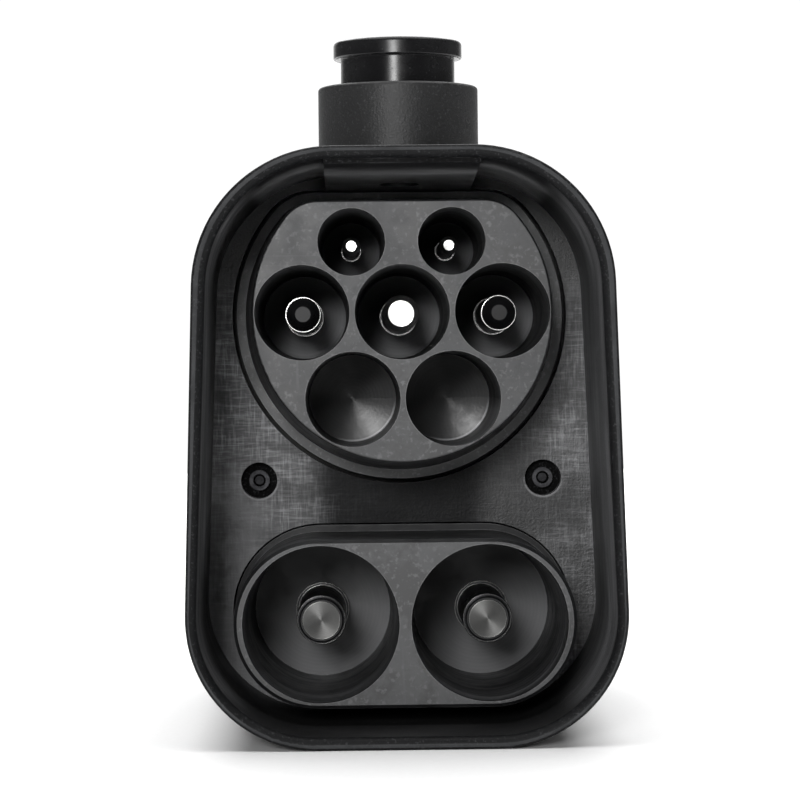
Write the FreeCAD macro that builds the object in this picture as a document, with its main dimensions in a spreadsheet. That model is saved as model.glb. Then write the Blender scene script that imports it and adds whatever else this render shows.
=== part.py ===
import FreeCAD, Part
import math
import os

# Vehicle charging adapter. X runs to the right as one looks into the inlet,
# Y runs from the inlet rim to the rear plug, Z is up. The origin is under the
# middle of the whole adapter, on the surface that it stands on.

Vec = FreeCAD.Vector
doc = FreeCAD.newDocument("adapter")
dims = doc.addObject("Spreadsheet::Sheet", "dims")

SIZES = {
    # whole adapter
    "whole_length": 158.0,
    # outer section of the housings, a trapezoid with rounded corners
    "outer_half_low": 34.93, "outer_half_high": 32.22, "outer_tall": 93.4,
    "corner_low": 20.5, "corner_high": 22.0,
    # recess of the inlet
    "recess_half_low": 33.35, "recess_half_high": 29.9, "recess_low": 2.0, "recess_high": 91.5,
    "recess_corner_low": 18.6, "recess_corner_high": 20.2,
    "face_depth": 16.0, "floor_depth": 45.0, "floor_thick": 5.0, "front_length": 78.0,
    "skirt_wall": 3.0, "rim_round": 0.5, "rim_slope": 1.3,
    # lock block and tower
    "block_half": 12.2, "block_start": 90.7, "block_under": 89.2, "block_front": 1.5,
    "web_low": 90.1, "bush_low": 90.5, "pin_mouth": 3.35, "tower_depth": 36.0, "tower_radius": 13.2,
    "tower_top": 105.5, "tower_bore": 9.7, "tower_bore_floor": 95.5, "tower_round": 0.6,
    "bush_radius": 4.5,
    # round boss
    "ac_height": 68.0, "boss_radius": 24.0, "boss_flat": 17.8, "boss_round": 6.6,
    "boss_taper": 3.7, "collar_radius": 27.4, "collar_flat": 20.8, "hole_radius": 28.1,
    "pitch": 16.0, "pitch_half": 8.0, "pitch_low": 13.87, "pilot_up": 11.2,
    "well_radius": 7.6, "well_root": 7.0, "pilot_well_radius": 5.4, "pilot_well_root": 4.9,
    "well_depth": 54.0, "well_dish": 1.6, "empty_root": 7.4, "empty_dish": 1.3,
    # wide boss
    "dc_height": 18.3, "dc_half_pitch": 13.5, "dc_boss_radius": 13.45, "dc_boss_centre": 14.0,
    "dc_chamfer": 0.8, "dc_collar_radius": 14.6, "dc_collar_centre": 13.6,
    "dc_hole_radius": 14.9, "dc_well_radius": 12.55, "dc_well_root": 11.5, "dc_well_depth": 54.0,
    # insert plate
    "plate_front": 51.0, "plate_rear": 60.0, "plate_gap": 0.5,
    # floor screws
    "screw_side": 23.9, "screw_height": 40.5, "screw_sink": 3.05, "screw_sink_deep": 2.6,
    "screw_head": 1.75, "screw_head_tall": 1.2, "screw_shank": 1.2,
    # pins
    "ac_pin_radius": 3.0, "ac_pin_tip": 30.0, "earth_tip": 28.0, "pilot_tip": 31.0,
    "pilot_pin_radius": 1.5, "cap_stud": 0.9, "cap_flat": 1.25, "cap_front": 27.6,
    "dc_pin_radius": 4.0, "dc_stud": 3.4, "dc_cap_gap": 0.4, "dc_pin_tip": 25.0, "dc_cap_seat": 26.7, "dc_cap_inner": 3.15,
    "dc_root_collar": 4.5, "tail_end": 69.0, "pin_root": 53.8, "held_extra": 0.2,
    # lock
    "knob_under": 110.1, "knob_top": 113.0, "knob_flange": 10.6, "knob_neck": 9.4,
    "knob_foot": 99.8, "knob_cup": 6.6, "knob_cup_top": 106.6, "lock_pin_radius": 3.0,
    "lock_pin_tip": 91.9, "stop_height": 102.6, "lock_travel": 4.1,
    # rear housing
    "rear_face": 116.0, "rear_wall": 5.0, "spigot_front": 70.0, "rebate_front": 69.2,
    "rebate_wall": 2.0, "spigot_gap": 0.12, "rear_shell": 4.12, "rear_round": 4.0,
    # rear plug
    "plug_height": 60.0, "plug_radius": 21.9, "plug_end": 158.0, "plug_dc_height": 23.5,
    "plug_dc_radius": 13.3, "plug_dc_centre": 13.5, "plug_dc_end": 152.0, "plug_lip": 2.2,
    "plug_sink": 3.0, "flange_front": 103.0, "flange_rear": 110.0,
    "plug_power_side": 7.85, "plug_power_up": 6.8, "plug_earth_down": 10.6,
    "plug_pilot_side": 10.65, "plug_pilot_down": 2.8,
    # latch
    "pivot_depth": 110.0, "pivot_height": 90.2, "pivot_radius": 2.0, "lever_half": 5.0,
    "channel_half": 5.5, "channel_floor": 86.0, "channel_front": 82.0,
}
row = 1
for key, value in SIZES.items():
    dims.set("A%d" % row, key)
    dims.set("B%d" % row, repr(value))
    dims.setAlias("B%d" % row, key)
    row += 1
doc.recompute()


class Q:
    """A size: its number, and the expression on the sheet that gives it."""

    def __init__(self, n, e):
        self.n = float(n)
        self.e = e

    def __add__(self, o):
        o = q(o)
        return Q(self.n + o.n, "(%s + %s)" % (self.e, o.e))

    def __radd__(self, o):
        return q(o) + self

    def __sub__(self, o):
        o = q(o)
        return Q(self.n - o.n, "(%s - %s)" % (self.e, o.e))

    def __rsub__(self, o):
        return q(o) - self

    def __mul__(self, o):
        o = q(o)
        return Q(self.n * o.n, "(%s * %s)" % (self.e, o.e))

    def __rmul__(self, o):
        return q(o) * self

    def __truediv__(self, o):
        o = q(o)
        return Q(self.n / o.n, "(%s / %s)" % (self.e, o.e))

    def __neg__(self):
        return Q(-self.n, "(0 - %s)" % self.e)


def q(value):
    if isinstance(value, Q):
        return value
    if value < 0:
        return Q(value, "(0 - %.6f)" % -value)
    return Q(value, "%.6f" % value)


class Sheet:
    def __getattr__(self, name):
        return Q(dims.get(name), "dims." + name)


S = Sheet()
rim_y = -S.whole_length / 2      # where the rim lies on Y


def bind(obj, prop, value):
    value = q(value)
    if "dims." in value.e:
        obj.setExpression(prop, value.e)
    return value.n


def place(obj, x, y, z, rotation=None):
    x, y, z = q(x), q(y), q(z)
    obj.Placement = FreeCAD.Placement(Vec(x.n, y.n, z.n), rotation or FreeCAD.Rotation())
    bind(obj, "Placement.Base.x", x)
    bind(obj, "Placement.Base.y", y)
    bind(obj, "Placement.Base.z", z)


NODES = {}


def node(name, obj):
    """Marks a finished piece. It is drawn with the rim at Y 0 and then set back."""
    obj.Label = name
    base = obj.Placement.Base
    if base.Length > 1e-9:
        raise RuntimeError(name + " already has a place of its own")
    place(obj, 0, rim_y, 0)
    NODES[name] = obj
    return obj


def turned_node(name, obj, x, z, y=0.0):
    obj.Label = name
    place(obj, x, rim_y + y, z)
    NODES[name] = obj
    return obj


ALONG_Y = FreeCAD.Rotation(Vec(1, 0, 0), -90)
ALONG_X = FreeCAD.Rotation(Vec(0, 1, 0), 90)


def cyl_y(name, x, z, y0, y1, radius):
    c = doc.addObject("Part::Cylinder", name)
    c.Radius = bind(c, "Radius", radius)
    c.Height = bind(c, "Height", q(y1) - y0)
    place(c, x, y0, z, ALONG_Y)
    return c


def cyl_x(name, x0, x1, y, z, radius):
    c = doc.addObject("Part::Cylinder", name)
    c.Radius = bind(c, "Radius", radius)
    c.Height = bind(c, "Height", q(x1) - x0)
    place(c, x0, y, z, ALONG_X)
    return c


def cyl_z(name, x, y, z0, z1, radius):
    c = doc.addObject("Part::Cylinder", name)
    c.Radius = bind(c, "Radius", radius)
    c.Height = bind(c, "Height", q(z1) - z0)
    place(c, x, y, z0)
    return c


def cone_y(name, x, z, y0, r0, y1, r1):
    c = doc.addObject("Part::Cone", name)
    c.Radius1 = bind(c, "Radius1", r0)
    c.Radius2 = bind(c, "Radius2", r1)
    c.Height = bind(c, "Height", q(y1) - y0)
    place(c, x, y0, z, ALONG_Y)
    return c


def box(name, x0, x1, y0, y1, z0, z1):
    b = doc.addObject("Part::Box", name)
    b.Length = bind(b, "Length", q(x1) - x0)
    b.Width = bind(b, "Width", q(y1) - y0)
    b.Height = bind(b, "Height", q(z1) - z0)
    place(b, x0, y0, z0)
    return b


def fuse(name, parts):
    f = doc.addObject("Part::MultiFuse", name)
    f.Shapes = parts
    f.Refine = True
    return f


def cut(name, base, tools):
    tool = tools[0] if len(tools) == 1 else fuse(name + "_tools", tools)
    c = doc.addObject("Part::Cut", name)
    c.Base = base
    c.Tool = tool
    c.Refine = True
    return c


def hexagon_y(name, x, z, y0, y1, across):
    """A hexagonal bar along Y, with its size across the flats."""
    across = q(across)
    p = doc.addObject("Part::RegularPolygon", name + "_outline")
    p.Polygon = 6
    p.Circumradius = bind(p, "Circumradius", across / math.sqrt(3.0))
    place(p, x, y0, z, ALONG_Y)
    e = doc.addObject("Part::Extrusion", name)
    e.Base = p
    e.DirMode = "Custom"
    e.Dir = Vec(0, 1, 0)
    e.LengthFwd = bind(e, "LengthFwd", q(y1) - y0)
    e.Solid = True
    return e


# sketches ---------------------------------------------------------------

def origin_plane(body, role):
    for feature in body.Origin.OriginFeatures:
        if feature.Role == role:
            return feature
    raise RuntimeError(role)


def new_body(name):
    return doc.addObject("PartDesign::Body", name)


def new_sketch(body, name, role, offset=0.0):
    sk = body.newObject("Sketcher::SketchObject", name)
    sk.AttachmentSupport = [(origin_plane(body, role), "")]
    sk.MapMode = "FlatFace"
    offset = q(offset)
    sk.AttachmentOffset = FreeCAD.Placement(Vec(0, 0, offset.n), FreeCAD.Rotation())
    bind(sk, "AttachmentOffset.Base.z", offset)
    return sk


def dimension(sk, kind, geo, pos, value):
    import Sketcher
    value = q(value)
    if kind == "Radius":
        i = sk.addConstraint(Sketcher.Constraint("Radius", geo, value.n))
        bind(sk, "Constraints[%d]" % i, value)
        return
    if abs(value.n) < 1e-9 and "dims." not in value.e:
        axis = -2 if kind == "DistanceX" else -1
        sk.addConstraint(Sketcher.Constraint("PointOnObject", geo, pos, axis))
        return
    i = sk.addConstraint(Sketcher.Constraint(kind, geo, pos, value.n))
    bind(sk, "Constraints[%d]" % i, value)


def polygon(sk, points):
    import Sketcher
    points = [(q(a), q(b)) for a, b in points]
    count = len(points)
    first = sk.GeometryCount
    for i in range(count):
        a, b = points[i], points[(i + 1) % count]
        sk.addGeometry(Part.LineSegment(Vec(a[0].n, a[1].n, 0), Vec(b[0].n, b[1].n, 0)), False)
    for i in range(count):
        sk.addConstraint(Sketcher.Constraint("Coincident", first + i, 2, first + (i + 1) % count, 1))
    for i in range(count):
        dimension(sk, "DistanceX", first + i, 1, points[i][0])
        dimension(sk, "DistanceY", first + i, 1, points[i][1])


def circle(sk, x, y, radius):
    x, y, radius = q(x), q(y), q(radius)
    g = sk.addGeometry(Part.Circle(Vec(x.n, y.n, 0), Vec(0, 0, 1), radius.n), False)
    dimension(sk, "DistanceX", g, 3, x)
    dimension(sk, "DistanceY", g, 3, y)
    dimension(sk, "Radius", g, 0, radius)


def obround(sk, centre, y, radius):
    """A slot outline lying along the sketch's X, its round ends at plus and minus centre."""
    import Sketcher
    centre, y, radius = q(centre), q(y), q(radius)
    half = math.pi / 2
    right = sk.addGeometry(Part.ArcOfCircle(Part.Circle(Vec(centre.n, y.n, 0), Vec(0, 0, 1), radius.n), -half, half), False)
    left = sk.addGeometry(Part.ArcOfCircle(Part.Circle(Vec(-centre.n, y.n, 0), Vec(0, 0, 1), radius.n), half, 3 * half), False)
    top = sk.addGeometry(Part.LineSegment(Vec(centre.n, y.n + radius.n, 0), Vec(-centre.n, y.n + radius.n, 0)), False)
    low = sk.addGeometry(Part.LineSegment(Vec(-centre.n, y.n - radius.n, 0), Vec(centre.n, y.n - radius.n, 0)), False)
    sk.addConstraint(Sketcher.Constraint("Tangent", right, 2, top, 1))
    sk.addConstraint(Sketcher.Constraint("Tangent", top, 2, left, 1))
    sk.addConstraint(Sketcher.Constraint("Tangent", left, 2, low, 1))
    sk.addConstraint(Sketcher.Constraint("Tangent", low, 2, right, 1))
    dimension(sk, "DistanceX", right, 3, centre)
    dimension(sk, "DistanceY", right, 3, y)
    dimension(sk, "DistanceX", left, 3, -centre)
    dimension(sk, "Radius", right, 0, radius)
    sk.addConstraint(Sketcher.Constraint("Horizontal", top))


def flat_circle(sk, y, radius, flat, rounding):
    """A circle with a flat top, its two corners rounded. flat is above the centre."""
    import Sketcher
    y, radius, flat, rounding = q(y), q(radius), q(flat), q(rounding)
    rr, ff, cc, yy = radius.n, flat.n, rounding.n, y.n
    cx = math.sqrt((rr - cc) ** 2 - (ff - cc) ** 2)
    cy = ff - cc
    angle = math.atan2(cy, cx)
    big = sk.addGeometry(Part.ArcOfCircle(Part.Circle(Vec(0, yy, 0), Vec(0, 0, 1), rr), math.pi - angle, 2 * math.pi + angle), False)
    right = sk.addGeometry(Part.ArcOfCircle(Part.Circle(Vec(cx, yy + cy, 0), Vec(0, 0, 1), cc), angle, math.pi / 2), False)
    top = sk.addGeometry(Part.LineSegment(Vec(cx, yy + ff, 0), Vec(-cx, yy + ff, 0)), False)
    left = sk.addGeometry(Part.ArcOfCircle(Part.Circle(Vec(-cx, yy + cy, 0), Vec(0, 0, 1), cc), math.pi / 2, math.pi - angle), False)
    sk.addConstraint(Sketcher.Constraint("Tangent", big, 2, right, 1))
    sk.addConstraint(Sketcher.Constraint("Tangent", right, 2, top, 1))
    sk.addConstraint(Sketcher.Constraint("Tangent", top, 2, left, 1))
    sk.addConstraint(Sketcher.Constraint("Tangent", left, 2, big, 1))
    dimension(sk, "DistanceX", big, 3, 0)
    dimension(sk, "DistanceY", big, 3, y)
    dimension(sk, "Radius", big, 0, radius)
    dimension(sk, "Radius", right, 0, rounding)
    dimension(sk, "Radius", left, 0, rounding)
    dimension(sk, "DistanceY", top, 1, y + flat)


def section(sk, half_low, half_high, low, high, low_corner, high_corner):
    """The housing's section: straight bottom and top, sides that lean in, round corners.
    The four points are where the straight sides would meet."""
    import Sketcher
    low, high = q(low), q(high)
    half_low, half_high = q(half_low), q(half_high)
    corners = [(-half_low, low, q(low_corner)), (half_low, low, q(low_corner)),
               (half_high, high, q(high_corner)), (-half_high, high, q(high_corner))]
    spots = [Vec(a.n, b.n, 0) for a, b, c in corners]
    marks = []
    for a, b, c in corners:
        g = sk.addGeometry(Part.Point(Vec(a.n, b.n, 0)), True)
        dimension(sk, "DistanceX", g, 1, a)
        dimension(sk, "DistanceY", g, 1, b)
        marks.append(g)
    starts, stops, arcs = [], [], []
    for i in range(4):
        here, before, after = spots[i], spots[i - 1], spots[(i + 1) % 4]
        d0 = (before - here).normalize()
        d1 = (after - here).normalize()
        half = d0.getAngle(d1) / 2
        r = corners[i][2].n
        reach = r / math.tan(half)
        centre = here + (d0 + d1).normalize() * (r / math.sin(half))
        p0, p1 = here + d0 * reach, here + d1 * reach
        a0 = math.atan2(p0.y - centre.y, p0.x - centre.x)
        a1 = math.atan2(p1.y - centre.y, p1.x - centre.x)
        if a1 < a0:
            a1 += 2 * math.pi
        arcs.append(sk.addGeometry(Part.ArcOfCircle(Part.Circle(centre, Vec(0, 0, 1), r), a0, a1), False))
        starts.append(p0)
        stops.append(p1)
    lines = []
    for i in range(4):
        lines.append(sk.addGeometry(Part.LineSegment(stops[i], starts[(i + 1) % 4]), False))
    for i in range(4):
        sk.addConstraint(Sketcher.Constraint("Tangent", arcs[i], 2, lines[i], 1))
        sk.addConstraint(Sketcher.Constraint("Tangent", lines[i], 2, arcs[(i + 1) % 4], 1))
        sk.addConstraint(Sketcher.Constraint("PointOnObject", marks[i], 1, lines[i]))
        sk.addConstraint(Sketcher.Constraint("PointOnObject", marks[(i + 1) % 4], 1, lines[i]))
        dimension(sk, "Radius", arcs[i], 0, corners[i][2])


def pad(body, sk, length, backward=False, taper=None, name="Pad"):
    f = body.newObject("PartDesign::Pad", name)
    f.Profile = sk
    f.Type = 0
    f.Length = bind(f, "Length", length)
    f.Reversed = backward
    if taper is not None:
        f.TaperAngle = bind(f, "TaperAngle", taper)
    sk.Visibility = False
    doc.recompute()
    return f


def pocket(body, sk, length, backward=False, name="Pocket"):
    doc.recompute()
    before = body.Shape.Volume
    f = body.newObject("PartDesign::Pocket", name)
    f.Profile = sk
    f.Type = 0
    f.Length = bind(f, "Length", length)
    f.Reversed = backward
    doc.recompute()
    if not body.Shape.Volume < before - 1e-3:
        raise RuntimeError("%s in %s cuts nothing" % (name, body.Name))
    return f


def edges_where(shape, test):
    return ["Edge%d" % (i + 1) for i, e in enumerate(shape.Edges) if test(e)]


def fillet(body, radius, test, name="Fillet", kind="PartDesign::Fillet"):
    doc.recompute()
    base = body.Tip
    names = edges_where(base.Shape, test)
    if not names:
        raise RuntimeError("%s in %s finds no edge" % (name, body.Name))
    f = body.newObject(kind, name)
    f.Base = (base, names)
    prop = "Radius" if kind.endswith("Fillet") else "Size"
    setattr(f, prop, bind(f, prop, radius))
    doc.recompute()
    return f


def ends(e):
    return [v.Point for v in e.Vertexes]


def runs_along_y(e, y0, y1, z_low, z_high, x_min=0.0):
    """A straight edge along Y between y0 and y1, its height in the given range."""
    if len(e.Vertexes) != 2 or e.Curve.TypeId != "Part::GeomLine":
        return False
    a, b = ends(e)
    lo, hi = min(a.y, b.y), max(a.y, b.y)
    return (abs(lo - y0) < 0.01 and abs(hi - y1) < 0.01 and abs(a.x - b.x) < 0.01
            and abs(a.z - b.z) < 0.01 and z_low < a.z < z_high and abs(a.x) > x_min)


def turned(name, points, role="XY_Plane"):
    """A body turned about Y (XY_Plane, points are radius and depth) or Z (XZ_Plane)."""
    body = new_body(name)
    sk = new_sketch(body, name + "_profile", role)
    polygon(sk, points)
    f = body.newObject("PartDesign::Revolution", "Revolution")
    f.Profile = sk
    f.ReferenceAxis = (sk, ["V_Axis"])
    f.Angle = 360.0
    doc.recompute()
    return body


def tube(name, points, radius, bend):
    """A round wire along straight runs joined by tangent arcs."""
    points = [Vec(*p) for p in points]
    edges = []
    start = points[0]
    for i in range(1, len(points) - 1):
        a, b, c = points[i - 1], points[i], points[i + 1]
        d0 = (b - a).normalize()
        d1 = (c - b).normalize()
        turn = d0.getAngle(d1)
        cutback = bend * math.tan(turn / 2)
        cutback = min(cutback, 0.45 * (b - a).Length, 0.45 * (c - b).Length)
        r = cutback / math.tan(turn / 2)
        p0 = b - d0 * cutback
        p1 = b + d1 * cutback
        inward = (d1 - d0).normalize()
        centre = b + inward * (r / math.cos(turn / 2))
        mid = centre - inward * r
        edges.append(Part.LineSegment(start, p0).toShape())
        edges.append(Part.Arc(p0, mid, p1).toShape())
        start = p1
    edges.append(Part.LineSegment(start, points[-1]).toShape())
    path = Part.Wire(edges)
    direction = (points[1] - points[0]).normalize()
    ring = Part.Wire([Part.Circle(points[0], direction, radius).toShape()])
    shape = path.makePipeShell([ring], True, False)
    if abs(shape.Volume - math.pi * radius ** 2 * path.Length) > 0.02 * shape.Volume:
        raise RuntimeError(name + " has the wrong volume")
    obj = doc.addObject("Part::Feature", name)
    obj.Shape = shape
    return obj


# front housing: shroud, floor, skirt, lock block and tower ----------------

body = new_body("front_housing_body")
sk = new_sketch(body, "outer", "XZ_Plane")
section(sk, S.outer_half_low, S.outer_half_high, 0, S.outer_tall, S.corner_low, S.corner_high)
pad(body, sk, S.front_length, backward=True, name="OuterPad")
sk = new_sketch(body, "recess", "XZ_Plane")
section(sk, S.recess_half_low, S.recess_half_high, S.recess_low, S.recess_high,
        S.recess_corner_low, S.recess_corner_high)
pocket(body, sk, S.floor_depth, name="Recess")
# rim edges: a small round outside, and a large one that leads the connector in
doc.recompute()
ring = [f for f in body.Shape.Faces if abs(f.BoundBox.YMin) < 0.01 and abs(f.BoundBox.YMax) < 0.01][0]
outline = [e.CenterOfMass for e in ring.OuterWire.Edges]


def on_rim(e):
    return abs(e.BoundBox.YMin) < 0.01 and abs(e.BoundBox.YMax) < 0.01


def on_outline(e):
    return any((e.CenterOfMass - c).Length < 0.01 for c in outline)


fillet(body, S.rim_slope, lambda e: on_rim(e) and not on_outline(e), "RimSlope")
fillet(body, S.rim_round, lambda e: on_rim(e) and on_outline(e), "RimRound")
# lock block under the top wall, sloping from the rim down to the floor
sk = new_sketch(body, "block", "YZ_Plane", -S.block_half)
polygon(sk, [(S.block_front, S.block_start), (S.floor_depth + 0.2, S.block_under),
             (S.floor_depth + 0.2, S.recess_high + 0.9), (S.block_front, S.recess_high + 0.9)])
pad(body, sk, S.block_half * 2.0, name="Block")
# skirt behind the floor
sk = new_sketch(body, "skirt", "XZ_Plane", -(S.floor_depth + S.floor_thick))
section(sk, S.outer_half_low - S.skirt_wall, S.outer_half_high - S.skirt_wall,
        S.skirt_wall, S.outer_tall - S.skirt_wall, S.corner_low - S.skirt_wall,
        S.corner_high - S.skirt_wall)
pocket(body, sk, S.front_length - S.floor_depth - S.floor_thick, name="Skirt")
# wider end of the skirt, for the rear housing's spigot
sk = new_sketch(body, "rebate", "XZ_Plane", -S.rebate_front)
section(sk, S.outer_half_low - S.rebate_wall, S.outer_half_high - S.rebate_wall,
        S.rebate_wall, S.outer_tall - S.rebate_wall, S.corner_low - S.rebate_wall,
        S.corner_high - S.rebate_wall)
pocket(body, sk, S.front_length - S.rebate_front, name="Rebate")
# tower
sk = new_sketch(body, "tower", "XY_Plane", S.outer_tall - 1.0)
circle(sk, 0, S.tower_depth, S.tower_radius)
pad(body, sk, S.tower_top - S.outer_tall + 1.0, name="Tower")
TT = S.tower_top.n
fillet(body, S.tower_round, lambda e: e.BoundBox.ZMin > TT - 0.01, "TowerRound")
# the web that carries the bush, under the tower
sk = new_sketch(body, "web", "XY_Plane", S.web_low)
circle(sk, 0, S.tower_depth, S.bush_radius + 2.2)
pad(body, sk, S.tower_bore_floor - S.web_low, name="Web")
sk = new_sketch(body, "bore", "XY_Plane", S.tower_top)
circle(sk, 0, S.tower_depth, S.tower_bore)
pocket(body, sk, S.tower_top - S.tower_bore_floor, name="TowerBore")
sk = new_sketch(body, "bush_hole", "XY_Plane", S.tower_top)
circle(sk, 0, S.tower_depth, S.bush_radius)
pocket(body, sk, S.tower_top - S.bush_low, name="BushHole")
sk = new_sketch(body, "pin_mouth", "XY_Plane", S.tower_top)
circle(sk, 0, S.tower_depth, S.pin_mouth)
pocket(body, sk, S.tower_top - S.block_under + 1.0, name="PinMouth")
# openings of the floor
sk = new_sketch(body, "round_hole", "XZ_Plane", -S.floor_depth)
flat_circle(sk, S.ac_height, S.hole_radius, S.block_under - S.ac_height, 9.0)
pocket(body, sk, S.floor_thick, name="RoundHole")
sk = new_sketch(body, "wide_hole", "XZ_Plane", -S.floor_depth)
obround(sk, S.dc_collar_centre, S.dc_height, S.dc_hole_radius)
pocket(body, sk, S.floor_thick, name="WideHole")
# screw seats
sk = new_sketch(body, "seats", "XZ_Plane", -S.floor_depth)
circle(sk, S.screw_side, S.screw_height, S.screw_sink)
circle(sk, -S.screw_side, S.screw_height, S.screw_sink)
pocket(body, sk, S.screw_sink_deep, name="Seats")
sk = new_sketch(body, "screw_holes", "XZ_Plane", -S.floor_depth)
circle(sk, S.screw_side, S.screw_height, S.screw_shank + 0.1)
circle(sk, -S.screw_side, S.screw_height, S.screw_shank + 0.1)
pocket(body, sk, S.floor_thick, name="ScrewHoles")
doc.recompute()
# side screw holes of the skirt and the stop screw's hole at the back of the tower
side_depth = q(74.0)
side_low, side_high = q(26.0), q(60.0)


def outer_x(z):
    """Half width of the housings at a height."""
    return S.outer_half_low - (S.outer_half_low - S.outer_half_high) * (q(z) / S.outer_tall)


tools = []
for tag, z in (("low", side_low), ("high", side_high)):
    ox = outer_x(z)
    tools.append(cyl_x("side_hole_right_" + tag, ox - 8.0, ox + 1.0, side_depth, z, 1.6))
    tools.append(cyl_x("side_hole_left_" + tag, -ox - 1.0, -ox + 8.0, side_depth, z, 1.6))
    tools.append(cyl_x("side_seat_right_" + tag, ox - 1.1, ox + 1.0, side_depth, z, 2.9))
    tools.append(cyl_x("side_seat_left_" + tag, -ox - 1.0, -ox + 1.1, side_depth, z, 2.9))
tools.append(cyl_y("stop_hole", 0, S.stop_height, S.tower_depth + S.tower_bore - 1.0,
                   S.tower_depth + S.tower_radius + 1.0, 1.5))
node("front_housing", cut("front_housing_cut", body, tools))

# contact insert: plate, collars, the two bosses and their wells ------------

body = new_body("insert_body")
sk = new_sketch(body, "plate", "XZ_Plane", -S.plate_front)
inset = S.skirt_wall + S.plate_gap
section(sk, S.outer_half_low - inset, S.outer_half_high - inset, inset, S.outer_tall - inset,
        S.corner_low - inset, S.corner_high - inset)
pad(body, sk, S.plate_rear - S.plate_front, backward=True, name="Plate")
sk = new_sketch(body, "collar", "XZ_Plane", -(S.floor_depth + 0.4))
flat_circle(sk, S.ac_height, S.collar_radius, S.collar_flat, 8.6)
pad(body, sk, S.plate_front - S.floor_depth + 0.1, backward=True, name="Collar")
sk = new_sketch(body, "wide_collar", "XZ_Plane", -(S.floor_depth + 0.1))
obround(sk, S.dc_collar_centre, S.dc_height, S.dc_collar_radius)
pad(body, sk, S.plate_front - S.floor_depth + 0.4, backward=True, name="WideCollar")
sk = new_sketch(body, "boss", "XZ_Plane", -S.face_depth)
flat_circle(sk, S.ac_height, S.boss_radius, S.boss_flat, S.boss_round)
pad(body, sk, S.floor_depth - S.face_depth + 3.0, backward=True, taper=S.boss_taper, name="Boss")
sk = new_sketch(body, "wide_boss", "XZ_Plane", -S.face_depth)
obround(sk, S.dc_boss_centre, S.dc_height, S.dc_boss_radius)
pad(body, sk, S.floor_depth - S.face_depth + 3.0, backward=True, name="WideBoss")
FD = S.face_depth.n
fillet(body, S.dc_chamfer * 0.7, lambda e: e.BoundBox.YMax < FD + 0.01 and e.BoundBox.ZMax < 34,
       "WideBossEdge", "PartDesign::Chamfer")
fillet(body, 0.35, lambda e: e.BoundBox.YMax < FD + 0.01 and e.BoundBox.ZMin > 40,
       "BossEdge", "PartDesign::Fillet")
doc.recompute()

AC = {
    "pilot": (-S.pitch_half, S.ac_height + S.pilot_up),
    "proximity": (S.pitch_half, S.ac_height + S.pilot_up),
    "neutral": (-S.pitch, S.ac_height),
    "earth": (q(0), S.ac_height),
    "line": (S.pitch, S.ac_height),
    "empty_left": (-S.pitch_half, S.ac_height - S.pitch_low),
    "empty_right": (S.pitch_half, S.ac_height - S.pitch_low),
}
tools = []
for key, (x, z) in AC.items():
    small = key in ("pilot", "proximity")
    mouth = S.pilot_well_radius if small else S.well_radius
    root = S.pilot_well_root if small else S.well_root
    dish = S.well_dish
    if key.startswith("empty"):
        root, dish = S.empty_root, S.empty_dish
    tools.append(cone_y(key + "_well", x, z, S.face_depth, mouth, S.well_depth, root))
    tools.append(cyl_y(key + "_well_mouth", x, z, S.face_depth - 1.0, S.face_depth, mouth))
    tools.append(cone_y(key + "_well_dish", x, z, S.well_depth, root, S.well_depth + dish, 0.3))
for key, side in (("left", -1.0), ("right", 1.0)):
    x = S.dc_half_pitch * side
    tools.append(cone_y("dc_well_" + key, x, S.dc_height, S.face_depth, S.dc_well_radius,
                        S.dc_well_depth, S.dc_well_root))
    tools.append(cyl_y("dc_well_mouth_" + key, x, S.dc_height, S.face_depth - 1.0, S.face_depth,
                       S.dc_well_radius))
    tools.append(cyl_y("dc_bore_" + key, x, S.dc_height, S.dc_well_depth - 1.0, S.plate_rear + 1.0,
                       S.dc_pin_radius + S.held_extra))
    tools.append(cyl_y("insert_screw_" + key, S.screw_side * side, S.screw_height,
                       S.plate_front - 1.0, S.plate_rear - 1.5, S.screw_shank))
for key in ("neutral", "earth", "line"):
    x, z = AC[key]
    tools.append(cyl_y(key + "_bore", x, z, S.pin_root - 1.0, S.plate_rear + 1.0,
                       S.ac_pin_radius + S.held_extra))
for key in ("pilot", "proximity"):
    x, z = AC[key]
    tools.append(cyl_y(key + "_bore", x, z, S.pin_root - 1.0, S.plate_rear + 1.0,
                       S.pilot_pin_radius + S.held_extra))
node("contact_insert", cut("contact_insert_cut", body, tools))

# gasket between the floor and the insert plate
body = new_body("gasket_body")
sk = new_sketch(body, "gasket", "XZ_Plane", -(S.floor_depth + S.floor_thick))
section(sk, S.outer_half_low - 3.15, S.outer_half_high - 3.15, 3.15, S.outer_tall - 3.15,
        S.corner_low - 3.15, S.corner_high - 3.15)
pad(body, sk, S.plate_front - S.floor_depth - S.floor_thick, backward=True, name="Sheet")
sk = new_sketch(body, "gasket_round", "XZ_Plane", -(S.floor_depth + S.floor_thick - 1.0))
flat_circle(sk, S.ac_height, S.collar_radius, S.collar_flat, 8.6)
pocket(body, sk, 4.0, name="GasketRound")
sk = new_sketch(body, "gasket_wide", "XZ_Plane", -(S.floor_depth + S.floor_thick - 1.0))
obround(sk, S.dc_collar_centre, S.dc_height, S.dc_collar_radius)
pocket(body, sk, 4.0, name="GasketWide")
sk = new_sketch(body, "gasket_screws", "XZ_Plane", -(S.floor_depth + S.floor_thick - 1.0))
circle(sk, S.screw_side, S.screw_height, S.screw_shank + 0.1)
circle(sk, -S.screw_side, S.screw_height, S.screw_shank + 0.1)
pocket(body, sk, 4.0, name="GasketScrews")
node("insert_gasket", body)

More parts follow.
